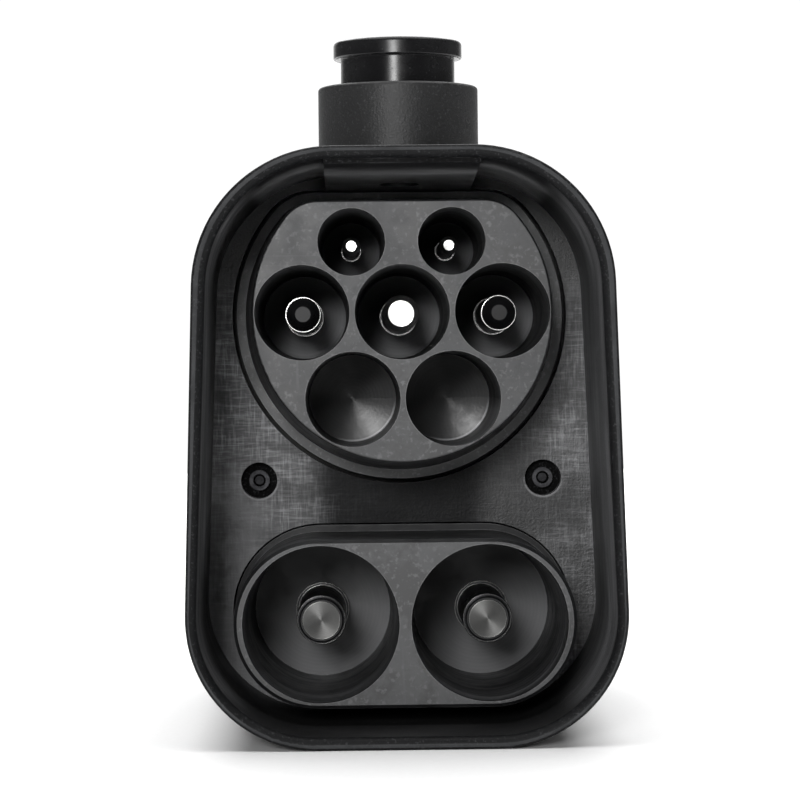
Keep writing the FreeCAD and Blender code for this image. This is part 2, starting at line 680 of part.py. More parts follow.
# floor screws: round heads with a round six-sided socket
screws = []
head_back = S.floor_depth + S.screw_sink_deep
for key, side in (("left", -1.0), ("right", 1.0)):
    x = S.screw_side * side
    head = cyl_y("floor_head_" + key, x, S.screw_height, head_back - S.screw_head_tall, head_back, S.screw_head)
    shank = cyl_y("floor_shank_" + key, x, S.screw_height, head_back, S.plate_rear - 1.6, S.screw_shank)
    solid = fuse("floor_solid_" + key, [head, shank])
    socket = hexagon_y("floor_socket_" + key, x, S.screw_height, head_back - S.screw_head_tall - 0.2,
                       head_back - S.screw_head_tall + 0.8, 1.8)
    screws.append(cut("floor_screw_" + key, solid, [socket]))
group = doc.addObject("Part::Compound", "floor_screw_group")
group.Links = screws
node("floor_screws", group)

# contacts of the inlet -----------------------------------------------------

for key in ("line", "neutral"):
    x, z = AC[key]
    r = S.ac_pin_radius
    b = turned(key + "_pin_body", [
        (0, S.cap_front + 0.9), (S.cap_stud, S.cap_front + 0.9), (S.cap_stud, S.ac_pin_tip),
        (r - 0.15, S.ac_pin_tip), (r, S.ac_pin_tip + 0.15), (r, S.pin_root),
        (r + S.held_extra, S.pin_root), (r + S.held_extra, S.plate_rear),
        (r + 1.5, S.plate_rear), (r + 1.5, S.plate_rear + 2.5), (2.2, S.plate_rear + 2.5),
        (2.2, S.tail_end - 1.0), (0, S.tail_end - 1.0)])
    turned_node(key + "_pin", b, x, z)
    c = turned(key + "_cap_body", [
        (0, S.cap_front), (S.cap_flat, S.cap_front), (S.cap_flat + 0.35, S.cap_front + 0.3),
        (r - 0.3, S.ac_pin_tip - 0.5), (r - 0.22, S.ac_pin_tip), (S.cap_stud, S.ac_pin_tip),
        (S.cap_stud, S.cap_front + 0.9), (0, S.cap_front + 0.9)])
    turned_node(key + "_pin_cap", c, x, z)

x, z = AC["earth"]
b = turned("earth_pin_body", [
    (0, S.earth_tip), (S.ac_pin_radius - 0.9, S.earth_tip), (S.ac_pin_radius, S.earth_tip + 1.1),
    (S.ac_pin_radius, S.pin_root), (S.ac_pin_radius + S.held_extra, S.pin_root),
    (S.ac_pin_radius + S.held_extra, S.plate_rear), (S.ac_pin_radius + 1.5, S.plate_rear),
    (S.ac_pin_radius + 1.5, S.plate_rear + 2.5), (2.2, S.plate_rear + 2.5),
    (2.2, S.tail_end - 1.0), (0, S.tail_end - 1.0)])
turned_node("earth_pin", b, x, z)

for key in ("pilot", "proximity"):
    x, z = AC[key]
    b = turned(key + "_pin_body", [
        (0, S.pilot_tip), (S.pilot_pin_radius - 0.65, S.pilot_tip), (S.pilot_pin_radius, S.pilot_tip + 0.9),
        (S.pilot_pin_radius, S.pin_root), (S.pilot_pin_radius + S.held_extra, S.pin_root),
        (S.pilot_pin_radius + S.held_extra, S.plate_rear), (S.pilot_pin_radius + 0.8, S.plate_rear),
        (S.pilot_pin_radius + 0.8, S.plate_rear + 2.5), (0.9, S.plate_rear + 2.5),
        (0.9, S.tail_end - 1.0), (0, S.tail_end - 1.0)])
    turned_node(key + "_pin", b, x, z)

for key, side in (("left", -1.0), ("right", 1.0)):
    x = S.dc_half_pitch * side
    r = S.dc_pin_radius
    b = turned("dc_pin_body_" + key, [
        (0, S.dc_pin_tip), (S.dc_cap_inner - 0.1, S.dc_pin_tip), (S.dc_cap_inner, S.dc_pin_tip + 0.1),
        (S.dc_cap_inner, S.dc_cap_seat), (r - 0.1, S.dc_cap_seat), (r, S.dc_cap_seat + 0.1),
        (r, S.dc_well_depth - 2.2), (S.dc_root_collar, S.dc_well_depth - 2.2),
        (S.dc_root_collar, S.dc_well_depth), (r + S.held_extra, S.dc_well_depth),
        (r + S.held_extra, S.plate_rear), (r + 3.2, S.plate_rear), (r + 3.2, S.plate_rear + 3.0),
        (S.dc_stud, S.plate_rear + 3.0), (S.dc_stud, S.plate_rear + 14.0), (0, S.plate_rear + 14.0)])
    turned_node("dc_pin_" + key, b, x, S.dc_height)
    c = turned("dc_cap_body_" + key, [
        (S.dc_cap_inner, S.dc_pin_tip + 0.15), (S.dc_cap_inner + 0.2, S.dc_pin_tip + 0.15),
        (r - S.dc_cap_gap, S.dc_pin_tip + 0.45), (r - S.dc_cap_gap, S.dc_cap_seat), (S.dc_cap_inner, S.dc_cap_seat)])
    turned_node("dc_cap_" + key, c, x, S.dc_height)

# nuts of the direct-current studs
nuts = []
for key, side in (("left", -1.0), ("right", 1.0)):
    x = S.dc_half_pitch * side
    for end, y0, z in (("front", S.plate_rear + 6.0, S.dc_height), ("rear", q(91.0), S.plug_dc_height)):
        bar = hexagon_y("nut_bar_%s_%s" % (key, end), x, z, y0, y0 + 6.0, 13.0)
        hole = cyl_y("nut_hole_%s_%s" % (key, end), x, z, y0 - 1.0, y0 + 7.0, S.dc_stud)
        nuts.append(cut("nut_%s_%s" % (key, end), bar, [hole]))
group = doc.addObject("Part::Compound", "nut_group")
group.Links = nuts
node("dc_nuts", group)

# copper bars from the inlet's studs to the plug's studs
for key, side in (("left", -1.0), ("right", 1.0)):
    x = S.dc_half_pitch * side
    p0 = S.plate_rear + 3.0
    solid = fuse("bar_solid_" + key, [
        box("bar_front_" + key, x - 7.0, x + 7.0, p0, p0 + 3.0, 7.0, S.dc_height + 7.2),
        box("bar_web_" + key, x - 7.0, x + 7.0, p0, 100.0, 7.0, 10.0),
        box("bar_rear_" + key, x - 7.0, x + 7.0, 97.0, 100.0, 7.0, S.plug_dc_height + 7.2)])
    node("busbar_" + key, cut("bar_cut_" + key, solid, [
        cyl_y("bar_hole_front_" + key, x, S.dc_height, p0 - 1.0, p0 + 4.0, S.dc_stud + 0.1),
        cyl_y("bar_hole_rear_" + key, x, S.plug_dc_height, 96.0, 101.0, S.dc_stud + 0.1)]))

# small board on the tails of the pilot, proximity and earth pins
board_y = S.plate_rear + 2.5
solid = fuse("board_solid", [
    box("board_plate", -11.0, 11.0, board_y, board_y + 1.6, 62.5, 83.5),
    box("board_part_low", -2.4, 2.4, board_y + 1.5, board_y + 3.0, 74.0, 76.2),
    box("board_part_high", -2.4, 2.4, board_y + 1.5, board_y + 3.0, 78.4, 80.6)])
tools = [cyl_y("board_earth", 0, S.ac_height, board_y - 1.0, board_y + 3.0, 2.2)]
for key in ("pilot", "proximity"):
    x, z = AC[key]
    tools.append(cyl_y("board_" + key, x, z, board_y - 1.0, board_y + 3.0, 0.9))
node("coding_board", cut("board_cut", solid, tools))

# lock: knob, pin, bush, spring and stop screw --------------------------------

body = turned("knob_body", [
    (0, S.knob_top), (S.knob_flange, S.knob_top), (S.knob_flange, S.knob_under),
    (S.knob_neck, S.knob_under), (S.knob_neck, S.knob_foot), (S.knob_cup, S.knob_foot),
    (S.knob_cup, S.knob_cup_top), (S.lock_pin_radius, S.knob_cup_top),
    (S.lock_pin_radius, S.knob_under + 0.4), (0, S.knob_under + 0.4)], "XZ_Plane")
KT, KU = S.knob_top.n, S.knob_under.n
fillet(body, 0.7, lambda e: e.BoundBox.ZMin > KT - 0.01, "KnobTop")
fillet(body, 0.3, lambda e: abs(e.BoundBox.ZMin - KU) < 0.01 and e.BoundBox.XMax > 10.0, "KnobUnder")
place(body, 0, S.tower_depth, 0)
slot = box("knob_slot", -1.35, 1.35, S.tower_depth + S.knob_neck - 1.7, S.tower_depth + S.knob_neck + 1.0,
           S.stop_height - 1.25, S.stop_height + S.lock_travel + 1.25)
node("lock_knob", cut("knob_cut", body, [slot]))
b = turned("lock_pin_body", [
    (0, S.lock_pin_tip), (S.lock_pin_radius - 0.6, S.lock_pin_tip),
    (S.lock_pin_radius, S.lock_pin_tip + 0.6), (S.lock_pin_radius, S.knob_under + 0.4),
    (0, S.knob_under + 0.4)], "XZ_Plane")
turned_node("lock_pin", b, 0, 0, S.tower_depth)
b = turned("bush_body", [
    (S.lock_pin_radius + 0.05, S.bush_low), (S.bush_radius, S.bush_low),
    (S.bush_radius, S.tower_bore_floor), (S.lock_pin_radius + 0.05, S.tower_bore_floor)], "XZ_Plane")
turned_node("lock_bush", b, 0, 0, S.tower_depth)


def spring(name, x, y, z0, z1, mean_radius, wire_radius, turns):
    """A round-wire compression spring standing between z0 and z1."""
    low, high = z0 + wire_radius + 0.05, z1 - wire_radius - 0.05
    count = int(turns * 16)
    points = []
    for i in range(count + 1):
        t = 2.0 * math.pi * turns * i / count
        points.append(Vec(mean_radius * math.cos(t), mean_radius * math.sin(t),
                          low + (high - low) * i / count))
    line = Part.BSplineCurve()
    line.interpolate(points)
    along = line.tangent(line.FirstParameter)[0]
    ring = Part.Wire([Part.Circle(points[0], along, wire_radius).toShape()])
    shape = Part.Wire([line.toShape()]).makePipeShell([ring], True, False)
    obj = doc.addObject("Part::Feature", name)
    obj.Shape = shape
    obj.Label = name
    place(obj, x, rim_y + y, 0)
    NODES[name] = obj


spring("lock_spring", 0, S.tower_depth, S.tower_bore_floor.n, S.knob_cup_top.n, 5.3, 0.45, 5.5)
stop_back = S.tower_depth + S.tower_radius
solid = fuse("stop_solid", [
    cyl_y("stop_thread", 0, S.stop_height, stop_back - 3.3, stop_back - 0.2, 1.5),
    cyl_y("stop_dog", 0, S.stop_height, stop_back - 5.3, stop_back - 3.2, 1.1)])
node("lock_stop_screw", cut("stop_cut", solid, [
    hexagon_y("stop_socket", 0, S.stop_height, stop_back - 1.7, stop_back + 0.5, 1.5)]))

# rear housing ------------------------------------------------------------------

body = new_body("rear_housing_body")
sk = new_sketch(body, "rear_outer", "XZ_Plane", -S.front_length)
section(sk, S.outer_half_low, S.outer_half_high, 0, S.outer_tall, S.corner_low, S.corner_high)
pad(body, sk, S.rear_face - S.front_length, backward=True, name="RearOuter")
RF = S.rear_face.n
fillet(body, S.rear_round, lambda e: e.BoundBox.YMin > RF - 0.01, "RearRound")
sk = new_sketch(body, "spigot", "XZ_Plane", -S.spigot_front)
inset = S.rebate_wall + S.spigot_gap
section(sk, S.outer_half_low - inset, S.outer_half_high - inset, inset, S.outer_tall - inset,
        S.corner_low - inset, S.corner_high - inset)
pad(body, sk, S.front_length - S.spigot_front + 1.0, backward=True, name="Spigot")
sk = new_sketch(body, "cavity", "XZ_Plane", -S.spigot_front)
section(sk, S.outer_half_low - S.rear_shell, S.outer_half_high - S.rear_shell,
        S.rear_shell, S.outer_tall - S.rear_shell, S.corner_low - S.rear_shell,
        S.corner_high - S.rear_shell)
pocket(body, sk, S.rear_face - S.rear_wall - S.spigot_front, name="Cavity")
sk = new_sketch(body, "latch_block", "XZ_Plane", -(S.channel_front - 2.5))
polygon(sk, [(-10.5, S.channel_floor - 2.8), (10.5, S.channel_floor - 2.8),
             (10.5, S.outer_tall - 3.0), (-10.5, S.outer_tall - 3.0)])
pad(body, sk, S.rear_face - S.rear_wall - S.channel_front + 2.6, backward=True, name="LatchBlock")
sk = new_sketch(body, "channel", "XZ_Plane", -S.channel_front)
polygon(sk, [(-S.channel_half, S.channel_floor), (S.channel_half, S.channel_floor),
             (S.channel_half, S.outer_tall + 1.0), (-S.channel_half, S.outer_tall + 1.0)])
pocket(body, sk, S.rear_face - S.channel_front + 1.0, name="Channel")
sk = new_sketch(body, "plug_hole", "XZ_Plane", -(S.rear_face - S.rear_wall - 0.5))
circle(sk, 0, S.plug_height, S.plug_radius + 0.15)
pocket(body, sk, S.rear_wall + 1.0, name="PlugHole")
sk = new_sketch(body, "plug_wide_hole", "XZ_Plane", -(S.rear_face - S.rear_wall - 0.5))
obround(sk, S.plug_dc_centre, S.plug_dc_height, S.plug_dc_radius + 0.15)
pocket(body, sk, S.rear_wall + 1.0, name="PlugWideHole")
doc.recompute()
tools = [cyl_x("pivot_hole", -9.6, 9.6, S.pivot_depth, S.pivot_height, S.pivot_radius)]
for tag, z in (("low", side_low), ("high", side_high)):
    ox = outer_x(z)
    tools.append(cyl_x("spigot_hole_right_" + tag, ox - 8.0, ox, side_depth, z, 1.5))
    tools.append(cyl_x("spigot_hole_left_" + tag, -ox, -ox + 8.0, side_depth, z, 1.5))
FLANGE_SCREWS = [(25.5, 42.0), (-25.5, 42.0), (20.0, 78.5), (-20.0, 78.5)]
for i, (x, z) in enumerate(FLANGE_SCREWS):
    tools.append(cyl_y("flange_thread_%d" % i, x, z, S.flange_rear, S.rear_face - 1.5, 1.4))
node("rear_housing", cut("rear_housing_cut", body, tools))

# seal on the skirt's shoulder
body = new_body("seal_body")
sk = new_sketch(body, "seal_outer", "XZ_Plane", -S.rebate_front)
inset = S.rebate_wall + 0.1
section(sk, S.outer_half_low - inset, S.outer_half_high - inset, inset, S.outer_tall - inset,
        S.corner_low - inset, S.corner_high - inset)
pad(body, sk, S.spigot_front - S.rebate_front, backward=True, name="SealOuter")
sk = new_sketch(body, "seal_inner", "XZ_Plane", -(S.rebate_front - 0.5))
section(sk, S.outer_half_low - S.rear_shell, S.outer_half_high - S.rear_shell,
        S.rear_shell, S.outer_tall - S.rear_shell, S.corner_low - S.rear_shell,
        S.corner_high - S.rear_shell)
pocket(body, sk, 3.0, name="SealInner")
node("housing_seal", body)

# side screws that hold the two housings together
screws = []
for tag, z in (("low", side_low), ("high", side_high)):
    ox = outer_x(z)
    for key, side in (("right", 1.0), ("left", -1.0)):
        seat, top, foot = (ox - 1.1) * side, (ox - 0.25) * side, (ox - 7.5) * side
        a = cyl_x("side_head_%s_%s" % (key, tag), seat if side > 0 else top,
                  top if side > 0 else seat, side_depth, z, 2.75)
        b = cyl_x("side_shank_%s_%s" % (key, tag), foot if side > 0 else seat,
                  seat if side > 0 else foot, side_depth, z, 1.5)
        solid = fuse("side_solid_%s_%s" % (key, tag), [a, b])
        cross = [box("side_cross_a_%s_%s" % (key, tag), top - 0.5, top + 0.5, side_depth - 1.6,
                     side_depth + 1.6, z - 0.35, z + 0.35),
                 box("side_cross_b_%s_%s" % (key, tag), top - 0.5, top + 0.5, side_depth - 0.35,
                     side_depth + 0.35, z - 1.6, z + 1.6)]
        screws.append(cut("side_screw_%s_%s" % (key, tag), solid, cross))
group = doc.addObject("Part::Compound", "side_screw_group")
group.Links = screws
node("housing_screws", group)

# rear insulator: flange, round plug and wide plug -------------------------------

PLUG = {
    "neutral": (-S.plug_power_side, S.plug_height + S.plug_power_up, 3.2, 1.85),
    "line": (S.plug_power_side, S.plug_height + S.plug_power_up, 3.2, 1.85),
    "earth": (q(0), S.plug_height - S.plug_earth_down, 3.0, 1.45),
    "pilot": (-S.plug_pilot_side, S.plug_height - S.plug_pilot_down, 1.9, 0.8),
    "proximity": (S.plug_pilot_side, S.plug_height - S.plug_pilot_down, 1.9, 0.8),
}
body = new_body("insulator_body")
sk = new_sketch(body, "flange", "XZ_Plane", -S.flange_front)
section(sk, S.outer_half_low - 4.6, 28.3, 4.6, 82.8, S.corner_low - 4.6, 12.0)
pad(body, sk, S.flange_rear - S.flange_front, backward=True, name="Flange")
sk = new_sketch(body, "plug_round", "XZ_Plane", -(S.flange_rear - 1.0))
circle(sk, 0, S.plug_height, S.plug_radius)
pad(body, sk, S.plug_end - S.flange_rear + 1.0, backward=True, name="PlugRound")
sk = new_sketch(body, "plug_wide", "XZ_Plane", -(S.flange_rear - 1.0))
obround(sk, S.plug_dc_centre, S.plug_dc_height, S.plug_dc_radius)
pad(body, sk, S.plug_dc_end - S.flange_rear + 1.0, backward=True, name="PlugWide")
PE, DE = S.plug_end.n, S.plug_dc_end.n
fillet(body, 1.0, lambda e: e.BoundBox.YMin > PE - 0.01, "PlugRoundEdge")
fillet(body, 1.0, lambda e: abs(e.BoundBox.YMin - DE) < 0.01 and abs(e.BoundBox.YMax - DE) < 0.01
       and e.BoundBox.ZMax < 37.5, "PlugWideEdge")
sk = new_sketch(body, "plug_sink", "XZ_Plane", -(S.plug_end - S.plug_sink))
circle(sk, 0, S.plug_height, S.plug_radius - S.plug_lip)
pocket(body, sk, S.plug_sink + 1.0, name="PlugSink")
sk = new_sketch(body, "plug_wide_sink", "XZ_Plane", -(S.plug_dc_end - S.plug_sink))
obround(sk, S.plug_dc_centre, S.plug_dc_height, S.plug_dc_radius - S.plug_lip + 0.4)
pocket(body, sk, S.plug_sink + 1.0, name="PlugWideSink")
tools = []
for key, (x, z, outer, bore) in PLUG.items():
    tools.append(cyl_y(key + "_plug_bore", x, z, S.flange_front - 1.0, S.plug_end, outer))
for key, side in (("left", -1.0), ("right", 1.0)):
    tools.append(cyl_y("dc_plug_bore_" + key, S.dc_half_pitch * side, S.plug_dc_height,
                       S.flange_front - 1.0, S.plug_dc_end, 5.6))
for i, (x, z) in enumerate(FLANGE_SCREWS):
    tools.append(cyl_y("flange_hole_%d" % i, x, z, S.flange_front - 1.0, S.flange_rear + 1.0, 1.5))
node("rear_insulator", cut("insulator_cut", body, tools))

body = new_body("rear_gasket_body")
sk = new_sketch(body, "rear_gasket", "XZ_Plane", -S.flange_rear)
section(sk, S.outer_half_low - 5.2, 27.7, 5.2, 82.2, S.corner_low - 5.2, 11.4)
pad(body, sk, S.rear_face - S.rear_wall - S.flange_rear, backward=True, name="RearSheet")
sk = new_sketch(body, "rear_gasket_round", "XZ_Plane", -(S.flange_rear - 1.0))
circle(sk, 0, S.plug_height, S.plug_radius + 0.02)
pocket(body, sk, 4.0, name="RearGasketRound")
sk = new_sketch(body, "rear_gasket_wide", "XZ_Plane", -(S.flange_rear - 1.0))
obround(sk, S.plug_dc_centre, S.plug_dc_height, S.plug_dc_radius + 0.02)
pocket(body, sk, 4.0, name="RearGasketWide")
sk = new_sketch(body, "rear_gasket_screws", "XZ_Plane", -(S.flange_rear - 1.0))
for x, z in FLANGE_SCREWS:
    circle(sk, x, z, 1.5)
pocket(body, sk, 4.0, name="RearGasketScrews")
node("rear_gasket", body)

screws = []
for i, (x, z) in enumerate(FLANGE_SCREWS):
    head = cyl_y("flange_head_%d" % i, x, z, S.flange_front - 2.0, S.flange_front, 2.7)
    shank = cyl_y("flange_shank_%d" % i, x, z, S.flange_front, S.rear_face - 2.0, 1.4)
    solid = fuse("flange_solid_%d" % i, [head, shank])
    screws.append(cut("flange_screw_%d" % i, solid, [
        hexagon_y("flange_socket_%d" % i, x, z, S.flange_front - 2.5, S.flange_front - 0.9, 2.5)]))
group = doc.addObject("Part::Compound", "flange_screw_group")
group.Links = screws
node("insulator_screws", group)

# sockets of the plug
for key, (x, z, outer, bore) in PLUG.items():
    tail = 0.9 if outer < 2.5 else 2.0
    face = S.plug_end - S.plug_sink - 0.6
    b = turned(key + "_socket_body", [
        (0, 97.0), (tail, 97.0), (tail, 101.5), (outer + 0.8, 101.5), (outer + 0.8, S.flange_front),
        (outer, S.flange_front), (outer, face), (bore, face), (bore, 128.0), (0, 127.0)])
    turned_node(key + "_socket", b, x, z)
for key, side in (("left", -1.0), ("right", 1.0)):
    face = S.plug_dc_end - S.plug_sink - 0.6
    b = turned("dc_socket_body_" + key, [
        (0, 87.0), (S.dc_stud, 87.0), (S.dc_stud, 100.0), (7.2, 100.0),
        (7.2, S.flange_front), (5.6, S.flange_front), (5.6, face), (S.dc_pin_radius + 0.05, face),
        (S.dc_pin_radius + 0.05, 118.0), (0, 116.5)])
    turned_node("dc_socket_" + key, b, S.dc_half_pitch * side, S.plug_dc_height)

# wires from the pins' tails to the sockets' tails
TAIL = S.tail_end.n - 1.0
POWER_X, PILOT_X = S.plug_power_side.n, S.plug_pilot_side.n
POWER_Z = S.plug_height.n + S.plug_power_up.n
EARTH_Z = S.plug_height.n - S.plug_earth_down.n
PILOT_Z = S.plug_height.n - S.plug_pilot_down.n
ACZ, PITCH, UP, HALF = S.ac_height.n, S.pitch.n, S.pilot_up.n, S.pitch_half.n
for key, side in (("neutral", -1.0), ("line", 1.0)):
    node(key + "_wire", tube(key + "_wire", [
        (side * PITCH, TAIL, ACZ), (side * PITCH, 80.0, ACZ),
        (side * POWER_X, 90.0, POWER_Z), (side * POWER_X, 97.0, POWER_Z)], 2.0, 6.0))
node("earth_wire", tube("earth_wire", [
    (0, TAIL, ACZ), (0, 74.5, ACZ), (0, 89.0, EARTH_Z), (0, 97.0, EARTH_Z)], 2.0, 5.0))
for key, side in (("pilot", -1.0), ("proximity", 1.0)):
    node(key + "_wire", tube(key + "_wire", [
        (side * HALF, TAIL, ACZ + UP), (side * HALF, 72.5, ACZ + UP),
        (side * PILOT_X, 86.0, PILOT_Z), (side * PILOT_X, 97.0, PILOT_Z)], 0.9, 4.0))

# latch: lever, its pivot pin and its spring --------------------------------------

body = new_body("lever_body")
sk = new_sketch(body, "lever", "YZ_Plane", -S.lever_half)
LEVER = [(83.0, 92.6), (83.0, 95.0), (85.0, 96.4), (99.0, 95.6), (106.0, 93.8), (118.0, 92.8),
         (140.0, 91.0), (146.2, 89.8), (148.6, 87.6), (148.0, 83.4), (146.0, 83.4), (144.4, 86.9),
         (118.0, 88.2), (110.0, 87.0), (104.5, 88.2), (99.0, 92.6)]
polygon(sk, LEVER)
pad(body, sk, S.lever_half * 2.0, name="Lever")
fillet(body, 0.8, lambda e: abs(abs(ends(e)[0].x) - 5.0) < 0.01 and len(ends(e)) == 2
       and abs(ends(e)[0].x - ends(e)[1].x) < 0.01 and min(p.z for p in ends(e)) > 92.7, "LeverEdges")
node("latch_lever", cut("lever_cut", body, [
    cyl_x("lever_bore", -S.lever_half - 1.0, S.lever_half + 1.0, S.pivot_depth, S.pivot_height,
          S.pivot_radius + 0.05)]))
node("latch_pin", cut("latch_pin_cut", cyl_x("latch_pin_rod", -9.6, 9.6, S.pivot_depth,
     S.pivot_height, S.pivot_radius), [
    cyl_x("latch_pin_dimple", 9.0, 10.0, S.pivot_depth, S.pivot_height, 0.8)]))
spring("latch_spring", 0, q(91.5), S.channel_floor.n, 92.6, 2.6, 0.35, 4.5)

# write -----------------------------------------------------------------------------

doc.recompute()
for obj in doc.Objects:
    if "Invalid" in obj.State or "Error" in obj.State:
        raise RuntimeError("%s failed: %s" % (obj.Label, obj.State))
for name, obj in NODES.items():
    shape = obj.Shape
    if shape.isNull() or not shape.isValid() or not shape.Solids:
        raise RuntimeError(name + " has no valid solid")
os.makedirs("parts", exist_ok=True)
for name, obj in NODES.items():
    obj.Shape.exportStep("parts/%s.step" % name)
print(len(NODES), "nodes")
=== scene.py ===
import math

import bpy
from mathutils import Matrix, Vector


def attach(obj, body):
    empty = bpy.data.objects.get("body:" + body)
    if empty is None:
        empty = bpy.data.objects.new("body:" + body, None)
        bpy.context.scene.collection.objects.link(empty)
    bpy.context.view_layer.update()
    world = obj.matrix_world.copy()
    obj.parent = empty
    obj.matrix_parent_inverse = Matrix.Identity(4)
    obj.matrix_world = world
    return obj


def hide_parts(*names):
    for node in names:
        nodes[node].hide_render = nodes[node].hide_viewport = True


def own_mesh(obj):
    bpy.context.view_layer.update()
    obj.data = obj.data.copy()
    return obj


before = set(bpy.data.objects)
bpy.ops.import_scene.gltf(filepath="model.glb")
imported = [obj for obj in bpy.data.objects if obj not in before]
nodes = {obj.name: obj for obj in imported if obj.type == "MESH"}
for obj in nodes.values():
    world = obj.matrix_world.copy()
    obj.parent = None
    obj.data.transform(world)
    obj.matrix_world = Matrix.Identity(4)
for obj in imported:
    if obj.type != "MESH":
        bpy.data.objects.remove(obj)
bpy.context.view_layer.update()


# --- materials ---------------------------------------------------------------

class Mat:
    """A small builder for one procedural material in object coordinates (metres, the row frame)."""

    def __init__(self, name):
        self.mat = bpy.data.materials.new(name)
        self.mat.use_nodes = True
        self.nt = self.mat.node_tree
        self.nt.nodes.clear()
        self.out = self.nt.nodes.new("ShaderNodeOutputMaterial")
        self.bsdf = self.nt.nodes.new("ShaderNodeBsdfPrincipled")
        self.nt.links.new(self.bsdf.outputs["BSDF"], self.out.inputs["Surface"])
        self.coord = self.nt.nodes.new("ShaderNodeTexCoord").outputs["Object"]
        self.normal = None

    def link(self, a, b):
        self.nt.links.new(a, b)

    def put(self, socket, value):
        if hasattr(value, "is_output"):
            self.link(value, socket)
        else:
            socket.default_value = value

    def scaled(self, x, y, z, turn=(0.0, 0.0, 0.0), shift=(0.0, 0.0, 0.0)):
        n = self.nt.nodes.new("ShaderNodeMapping")
        n.inputs["Scale"].default_value = (x, y, z)
        n.inputs["Rotation"].default_value = turn
        n.inputs["Location"].default_value = shift
        self.link(self.coord, n.inputs["Vector"])
        return n.outputs["Vector"]

    def noise(self, vector, scale=1.0, detail=3.0, rough=0.55, distortion=0.0):
        n = self.nt.nodes.new("ShaderNodeTexNoise")
        self.link(vector, n.inputs["Vector"])
        n.inputs["Scale"].default_value = scale
        n.inputs["Detail"].default_value = detail
        n.inputs["Roughness"].default_value = rough
        n.inputs["Distortion"].default_value = distortion
        return n.outputs["Fac"]

    def cells(self, vector, scale=1.0, feature="F1"):
        n = self.nt.nodes.new("ShaderNodeTexVoronoi")
        n.feature = feature
        self.link(vector, n.inputs["Vector"])
        n.inputs["Scale"].default_value = scale
        return n.outputs["Distance"]

    def ramp(self, value, a, b, low=0.0, high=1.0):
        n = self.nt.nodes.new("ShaderNodeMapRange")
        n.interpolation_type = "SMOOTHSTEP"
        self.put(n.inputs["Value"], value)
        n.inputs["From Min"].default_value = a
        n.inputs["From Max"].default_value = b
        n.inputs["To Min"].default_value = low
        n.inputs["To Max"].default_value = high
        return n.outputs["Result"]

    def math(self, op, a, b=0.0, clamp=False):
        n = self.nt.nodes.new("ShaderNodeMath")
        n.operation = op
        n.use_clamp = clamp
        self.put(n.inputs[0], a)
        self.put(n.inputs[1], b)
        return n.outputs[0]

    def xyz(self):
        n = self.nt.nodes.new("ShaderNodeSeparateXYZ")
        self.link(self.coord, n.inputs[0])
        return n.outputs["X"], n.outputs["Y"], n.outputs["Z"]

    def facing(self):
        """Parts of the true surface normal in the row frame."""
        g = self.nt.nodes.new("ShaderNodeNewGeometry")
        n = self.nt.nodes.new("ShaderNodeSeparateXYZ")
        self.link(g.outputs["Normal"], n.inputs[0])
        return n.outputs["X"], n.outputs["Y"], n.outputs["Z"]

    def edges(self, radius=0.0003, low=0.02, high=0.22):
        """1 on sharp edges: where the normal rounded over the radius leaves the true one."""
        g = self.nt.nodes.new("ShaderNodeNewGeometry")
        bev = self.nt.nodes.new("ShaderNodeBevel")
        bev.samples = 4
        bev.inputs["Radius"].default_value = radius
        dot = self.nt.nodes.new("ShaderNodeVectorMath")
        dot.operation = "DOT_PRODUCT"
        self.link(bev.outputs["Normal"], dot.inputs[0])
        self.link(g.outputs["Normal"], dot.inputs[1])
        return self.ramp(self.math("SUBTRACT", 1.0, dot.outputs["Value"]), low, high)

    def mix(self, factor, a, b):
        n = self.nt.nodes.new("ShaderNodeMix")
        n.data_type = "RGBA"
        self.put(n.inputs[0], factor)
        for socket, c in ((n.inputs[6], a), (n.inputs[7], b)):
            if hasattr(c, "is_output"):
                self.link(c, socket)
            else:
                socket.default_value = (*c, 1.0)
        return n.outputs[2]

    def bump(self, height, strength=0.3, distance=0.0002):
        n = self.nt.nodes.new("ShaderNodeBump")
        n.inputs["Strength"].default_value = strength
        n.inputs["Distance"].default_value = distance
        self.link(height, n.inputs["Height"])
        if self.normal is not None:
            self.link(self.normal, n.inputs["Normal"])
        self.normal = n.outputs["Normal"]
        return self.normal

    def radial(self, dx, dz, amount):
        """Lathe marks: highlights stretch along the radius given by its two parts."""
        c = self.nt.nodes.new("ShaderNodeCombineXYZ")
        self.link(dx, c.inputs["X"])
        self.link(dz, c.inputs["Z"])
        n = self.nt.nodes.new("ShaderNodeVectorMath")
        n.operation = "NORMALIZE"
        self.link(c.outputs[0], n.inputs[0])
        self.link(n.outputs["Vector"], self.bsdf.inputs["Tangent"])
        self.put(self.bsdf.inputs["Anisotropic"], amount)

    def done(self, color=None, rough=None, metal=None, spec=None, coat=None, coat_rough=None, sheen=None):
        i = self.bsdf.inputs
        if color is not None:
            if hasattr(color, "is_output"):
                self.link(color, i["Base Color"])
            else:
                i["Base Color"].default_value = (*color, 1.0)
        if rough is not None:
            self.put(i["Roughness"], rough)
        if metal is not None:
            i["Metallic"].default_value = metal
        if spec is not None:
            self.put(i["Specular IOR Level"], spec)
        if coat is not None:
            i["Coat Weight"].default_value = coat
        if coat_rough is not None:
            i["Coat Roughness"].default_value = coat_rough
        if sheen is not None:
            i["Sheen Weight"].default_value = sheen
        if self.normal is not None:
            self.link(self.normal, i["Normal"])
        return self.mat


def scratches(m, long_axis, fine, coarse, low, high, shift=0.0):
    """Thin straight scratches along one axis: a noise that is stretched along it."""
    s = [fine, fine, fine]
    s[long_axis] = coarse
    v = m.scaled(*s, shift=(shift, shift * 0.7, shift * 1.3))
    return m.ramp(m.noise(v, 1.0, 2.0, 0.5), low, high)


